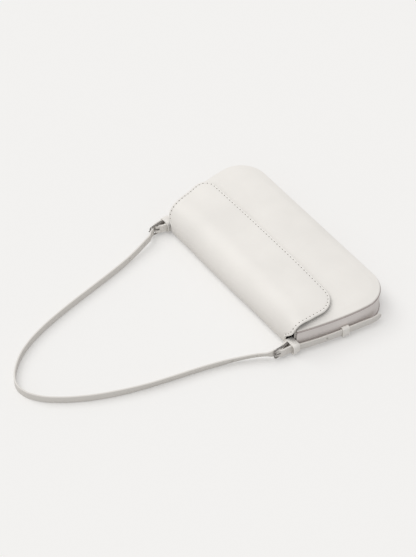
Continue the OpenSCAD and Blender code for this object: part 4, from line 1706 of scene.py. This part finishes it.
@dataclass
class Flap:
    """One leather from the back's top edge over the fold to the flap's rounded front edge."""

    shape: BodyShape
    finishes: Finishes
    stitching: Stitching
    thick: float = 1.4
    rim_r: float = 0.65
    lining_t: float = 0.8
    lining_in: float = 1.2
    lining_r: float = 0.3
    shoulder_in: float = 17.0
    bulge: float = 12.17
    root_past: float = 0.6
    root_z: float = 0.3
    back_pull: float = 0.07
    front_pull: float = 0.99
    side_drop: float = 2.5
    past_share: float = 0.7
    root_share: float = 0.1
    fold_from: float = 0.56
    fold_to: float = 0.84
    stitch_in: float = 2.6
    stitch_share: float = 0.5
    stitch_sink: float = 0.22
    stitch_w: float = 0.8
    puff: float = 0.4
    puff_in: float = 1.4
    puff_w: float = 0.9
    uneven: float = 0.28
    uneven_l: float = 74.0
    layer_gap: float = 0.1
    longer: float = 2.6
    dip: float = 1.0
    near_dip: float = 1.9
    dip_reach: float = 25.0

    # Half widths at shares of the curved part, then the half width and radius of each corner
    NEAR = (
        (0, 99.5), (0.2, 99.5), (0.38, 99.8), (0.42, 100.6), (0.45, 101.8), (0.48, 104.0), (0.51, 105.8),
        (0.54, 107.4), (0.57, 108.3), (0.6, 109.0), (0.7, 109.6), (0.8, 110.0), (1, 110.2),
    )
    FAR = (
        (0, 99.5), (0.2, 99.5), (0.41, 99.6), (0.46, 102.5), (0.5, 105.0), (0.55, 106.4), (0.6, 107.1),
        (0.7, 108.0), (0.8, 108.8), (0.9, 110.0), (1, 111.6),
    )
    CORNERS = ((Side.LEFT, NEAR, 110.4, 23.0), (Side.RIGHT, FAR, 116.3, 14.0))

    def __post_init__(self) -> None:
        """Works out the flap's section from the bag's back edge to its front edge."""
        low, high = box_mm("flap_front")
        mouth, top_z = self.shape.mouth_y, high[2]
        bulge_y = mouth + self.bulge
        self.half: float = high[0]
        self.edge_y: float = low[1] - self.longer
        self.shoulder_y: float = mouth - self.shoulder_in
        t = np.linspace(0, 1, 401)
        start, end = (mouth + self.root_past, self.root_z), (self.shoulder_y, top_z)
        handles = [(bulge_y, top_z * share) for share in (self.back_pull, self.front_pull)]
        pull = np.array([start, *handles, end])
        curve = np.column_stack([(1 - t) ** 3, 3 * (1 - t) ** 2 * t, 3 * (1 - t) * t * t, t**3]) @ pull
        flat_y = np.linspace(self.shoulder_y, self.edge_y, 141)[1:]
        self.line: Array = np.vstack([curve, np.column_stack([flat_y, np.full(len(flat_y), top_z)])])
        self.s: Array = runs(self.line)
        along = tangents(self.line)
        self.out: Array = np.column_stack([along[:, 1], -along[:, 0]])
        self.share: Array = np.concatenate([t, np.ones(len(flat_y))])
        self.past: Array = smooth((self.share - self.past_share) / (1 - self.past_share))
        self.curve_s: Array = np.column_stack([t, self.s[: len(t)]])
        self.wide: dict[Side, Array] = {side: self.edge(*corner) for side, *corner in self.CORNERS}

    def edge(self, table: Sequence[tuple[float, float]], half: float, r: float) -> Array:
        """Distance of one side edge from the middle of the bag, all along the section.

        Args:
            table: pairs of share and distance for the curved part.
            half: distance at the corner.
            r: radius of the corner.

        Returns:
            One distance a place.
        """
        wide = np.interp(self.share, *np.array(table).T)
        y = np.where(self.share < 1, self.shoulder_y, self.line[:, 0])
        corner_y = self.edge_y + r
        wide += (half - wide) * smooth((self.shoulder_y - y) / (self.shoulder_y - corner_y))
        wide = np.convolve(np.pad(wide, 9, "edge"), np.ones(19) / 19, "valid")
        fall = np.clip(corner_y - y, 0, r)
        return np.where(y < corner_y, half - r + np.sqrt(r * r - fall**2), wide)

    def at_share(self, share: float) -> float:
        """Length along the section at a share of its curved part."""
        return float(np.interp(share, *self.curve_s.T))

    def place(self, x: Array, s: Array, depth: Array) -> Array:
        """Places on the flap.

        Args:
            x: distance from the middle of the bag.
            s: length along the section.
            depth: how far below the outer face.

        Returns:
            (..., 3) places.
        """
        y, z = (np.interp(s, self.s, column) for column in self.line.T)
        ny, nz = (np.interp(s, self.s, column) for column in self.out.T)
        sink = depth + self.side_drop * np.interp(s, self.s, self.past) * (x / self.half) ** 2
        return stack(x, y - ny * sink, z - nz * sink)

    def outline(self, inset: float = 0.0) -> Array:
        """The free edge in the flattened leather, from one side round the front to the other.

        Args:
            inset: how far the line lies inside the edge.

        Returns:
            Places as (distance from the middle of the bag, length along the section).
        """
        right = np.column_stack([self.wide[Side.RIGHT], self.s])
        left = np.column_stack([-self.wide[Side.LEFT], self.s])
        line = spaced(np.vstack([right, left[::-1]]), 1.0)
        along = tangents(line)
        return line + inset * np.column_stack([-along[:, 1], along[:, 0]])

    def droop(self, x: Array, s: Array, edge: Array) -> Array:
        """How far the soft edge leans in towards the front panel, most at the near side.

        Args:
            x: distance from the middle of the bag.
            s: length along the section.
            edge: distance from the free edge.

        Returns:
            One depth a place.
        """
        rim = np.clip(1 - edge / self.dip_reach, 0, 1)
        deep = self.dip + self.near_dip * smooth((-x - 40) / 60)
        return deep * rim**2 * np.interp(s, self.s, self.past)

    def skin(self, x: Array, s: Array, edge: Array) -> Array:
        """Outer face: rounded rim, puffed edge band, sewn line and soft unevenness.

        Args:
            x: distance from the middle of the bag.
            s: length along the section.
            edge: distance from the free edge.

        Returns:
            How far below the section's line the face lies at each place.
        """
        depth = rounded(edge, self.rim_r) + groove(edge, self.stitch_in, self.stitch_sink, self.stitch_w)
        depth -= groove(edge, self.puff_in, self.puff, self.puff_w)
        depth -= self.uneven * wave(x, s, self.uneven_l, 35) * smooth((edge - 5) / 18)
        return depth + self.droop(x, s, edge)

    def layer(self, name: str, first: float, last: float, layer: Layer) -> Piece:
        """One layer between two places of the section.

        Args:
            name: the piece's name.
            first: where it starts along the section.
            last: where it ends.
            layer: which of the two layers.

        Returns:
            The layer.
        """
        inset = self.lining_in if layer is Layer.LINING else 0.0
        if last > self.at_share(1):
            last -= inset
            rows = np.linspace(first, last - RIM_STEPS[-1], 70)
            rows = np.concatenate([rows, last - RIM_STEPS[-2::-1]])
        else:
            rows = np.linspace(first, last, 10)
        right, left = (np.interp(rows, self.s, self.wide[side]) - inset for side in (Side.RIGHT, Side.LEFT))
        x = np.array([b - edge_steps(a + b, 90) for a, b in zip(left, right)])
        s = np.repeat(rows[:, None], x.shape[1], 1)
        edge = line_distance(np.stack([x, s], -1), self.outline())
        under = self.thick + self.droop(x, s, edge)
        if layer is Layer.LEATHER:
            return grid_shell(name, self.place(x, s, self.skin(x, s, edge)), self.place(x, s, under))
        top = under + self.layer_gap
        face = top + self.lining_t - rounded(np.maximum(edge - inset, 0), self.lining_r)
        return grid_shell(name, self.place(x, s, face), self.place(x, s, top))

    def bend(self, first: float, last: float) -> tuple[tuple, tuple]:
        """Two places on the section's middle line, in metres."""
        zero = np.zeros(1)
        return tuple(tuple(self.place(zero, np.array([s]), zero)[0] * MM) for s in (first, last))

    def build(self) -> None:
        """Makes leather, lining and stitches."""
        f = self.finishes
        root, end = self.at_share(self.root_share), float(self.s[-1])
        lift = self.bend(0.0, root)
        fold = self.bend(self.at_share(self.fold_from), self.at_share(self.fold_to))
        # The flap's underside and cut edge take the dark brown painted shade of the gap under its edge
        dressing = {
            Layer.LEATHER: (Slot.LEATHER, (f.leather, f.flap_underside_shade), ("flap_spine", "flap_front")),
            Layer.LINING: (Slot.LINING, (f.lining,), ("spine_lining", "flap_lining")),
        }
        for layer, (slot, materials, nodes) in dressing.items():
            back = f.dress(self.layer(f"flap_root_{layer.value}", 0.0, root, layer), slot, *materials)
            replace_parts(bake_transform(back), nodes[0])
            front = f.dress(self.layer(f"flap_{layer.value}_sheet", root, end, layer), slot, *materials)
            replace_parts(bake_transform(front), nodes[1])
        line = self.outline(self.stitch_in)
        x, s = line[line[:, 1] > self.at_share(self.stitch_share)].T
        path = self.place(x, s, self.skin(x, s, np.full(len(x), self.stitch_in)) + 0.05)
        up = stack(np.zeros(len(s)), *(np.interp(s, self.s, column) for column in self.out.T))
        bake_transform(self.stitching.sew("flap_stitches", path, up))


# The studio


@dataclass(frozen=True)
class Studio:
    """Camera, pale floor and soft light of the photograph."""

    lens: float = 161.58
    sensor: float = 36.0
    back: tuple[float, float, float] = (-0.5474, 0.4081, 0.7306)
    up: tuple[float, float, float] = (0.5857, -0.4367, 0.6828)
    eye: tuple[float, float, float] = (-1429.1, 1154.9, 1942.7)
    floor_half: float = 8000.0
    floor_z: float = -0.05
    floor_colour: Colour = (0.66, 0.653, 0.642)
    floor_glow: Colour = (0.255, 0.252, 0.248)
    bounce: float = 0.17
    world: float = 0.57

    # Direction, strength and angle across of each sun
    SUNS = (("key", (0.1, 0.27, 0.95), 0.87, 40), ("side", (0.6, 0.26, 0.76), 0.55, 30))

    def camera(self) -> None:
        """Places the camera that was fitted to the photograph."""
        data = bpy.data.cameras.new("photo_camera")
        data.lens = self.lens
        data.sensor_width = self.sensor
        data.clip_start, data.clip_end = 0.1, 50
        obj = placed("photo_camera", data)
        back, up = unit(np.array(self.back)), unit(np.array(self.up))
        pose = np.eye(4)
        pose[:3, :3] = np.column_stack([np.cross(up, back), up, back])
        pose[:3, 3] = np.array(self.eye) * MM
        obj.matrix_world = Matrix(pose.tolist())
        bpy.context.scene.camera = obj

    def floor(self) -> None:
        """A pale, even floor that throws less light on the bag than it shows."""
        square = np.array([(-1, -1, 0), (1, -1, 0), (1, 1, 0), (-1, 1, 0)])
        obj = new_object("floor", self.floor_half * square + self.floor_z * UP, [(0, 1, 2, 3)])
        material = bpy.data.materials.new("pale_floor")
        material.use_nodes = True
        tree = material.node_tree
        seen = add(tree, "ShaderNodeLightPath", out="Is Camera Ray")
        values = {
            "Base Color": (*self.floor_colour, 1),
            "Emission Color": (*self.floor_glow, 1),
            "Emission Strength": add(tree, "ShaderNodeMapRange", {"Value": seen, "To Min": self.bounce}),
            "Roughness": 1.0,
            "Specular IOR Level": 0.0,
        }
        fill(tree.nodes["Principled BSDF"], values)
        obj.data.materials.append(material)

    def light(self) -> None:
        """Lights the scene with a white world and two soft suns, from above and from one side."""
        scene = bpy.context.scene
        scene.world = scene.world or bpy.data.worlds.new("World")
        scene.world.use_nodes = True
        fill(scene.world.node_tree.nodes["Background"], {"Color": (1, 1, 1, 1), "Strength": self.world})
        for name, towards, strength, angle in self.SUNS:
            data = bpy.data.lights.new(name, "SUN")
            data.energy = strength
            data.angle = math.radians(angle)
            placed(name, data).rotation_euler = Vector(towards).to_track_quat("Z", "Y").to_euler()
        scene.view_settings.view_transform = "Standard"

    def build(self) -> None:
        """Sets up the camera, floor and light."""
        self.camera()
        self.floor()
        self.light()


def main() -> None:
    """Builds the bag."""
    logging.basicConfig(level=logging.INFO, format="%(message)s")
    Studio().build()
    shape = BodyShape.from_frame()
    finishes = Finishes()
    stitching = Stitching(finishes)
    left, right = Buckle(Side.LEFT, shape), Buckle(Side.RIGHT, shape)
    Strap(shape, left, right).build(finishes)
    left.build(finishes)
    right.build(finishes)
    Body(shape, finishes, stitching).build()
    Flap(shape, finishes, stitching).build()


if __name__ == "__main__":
    main()
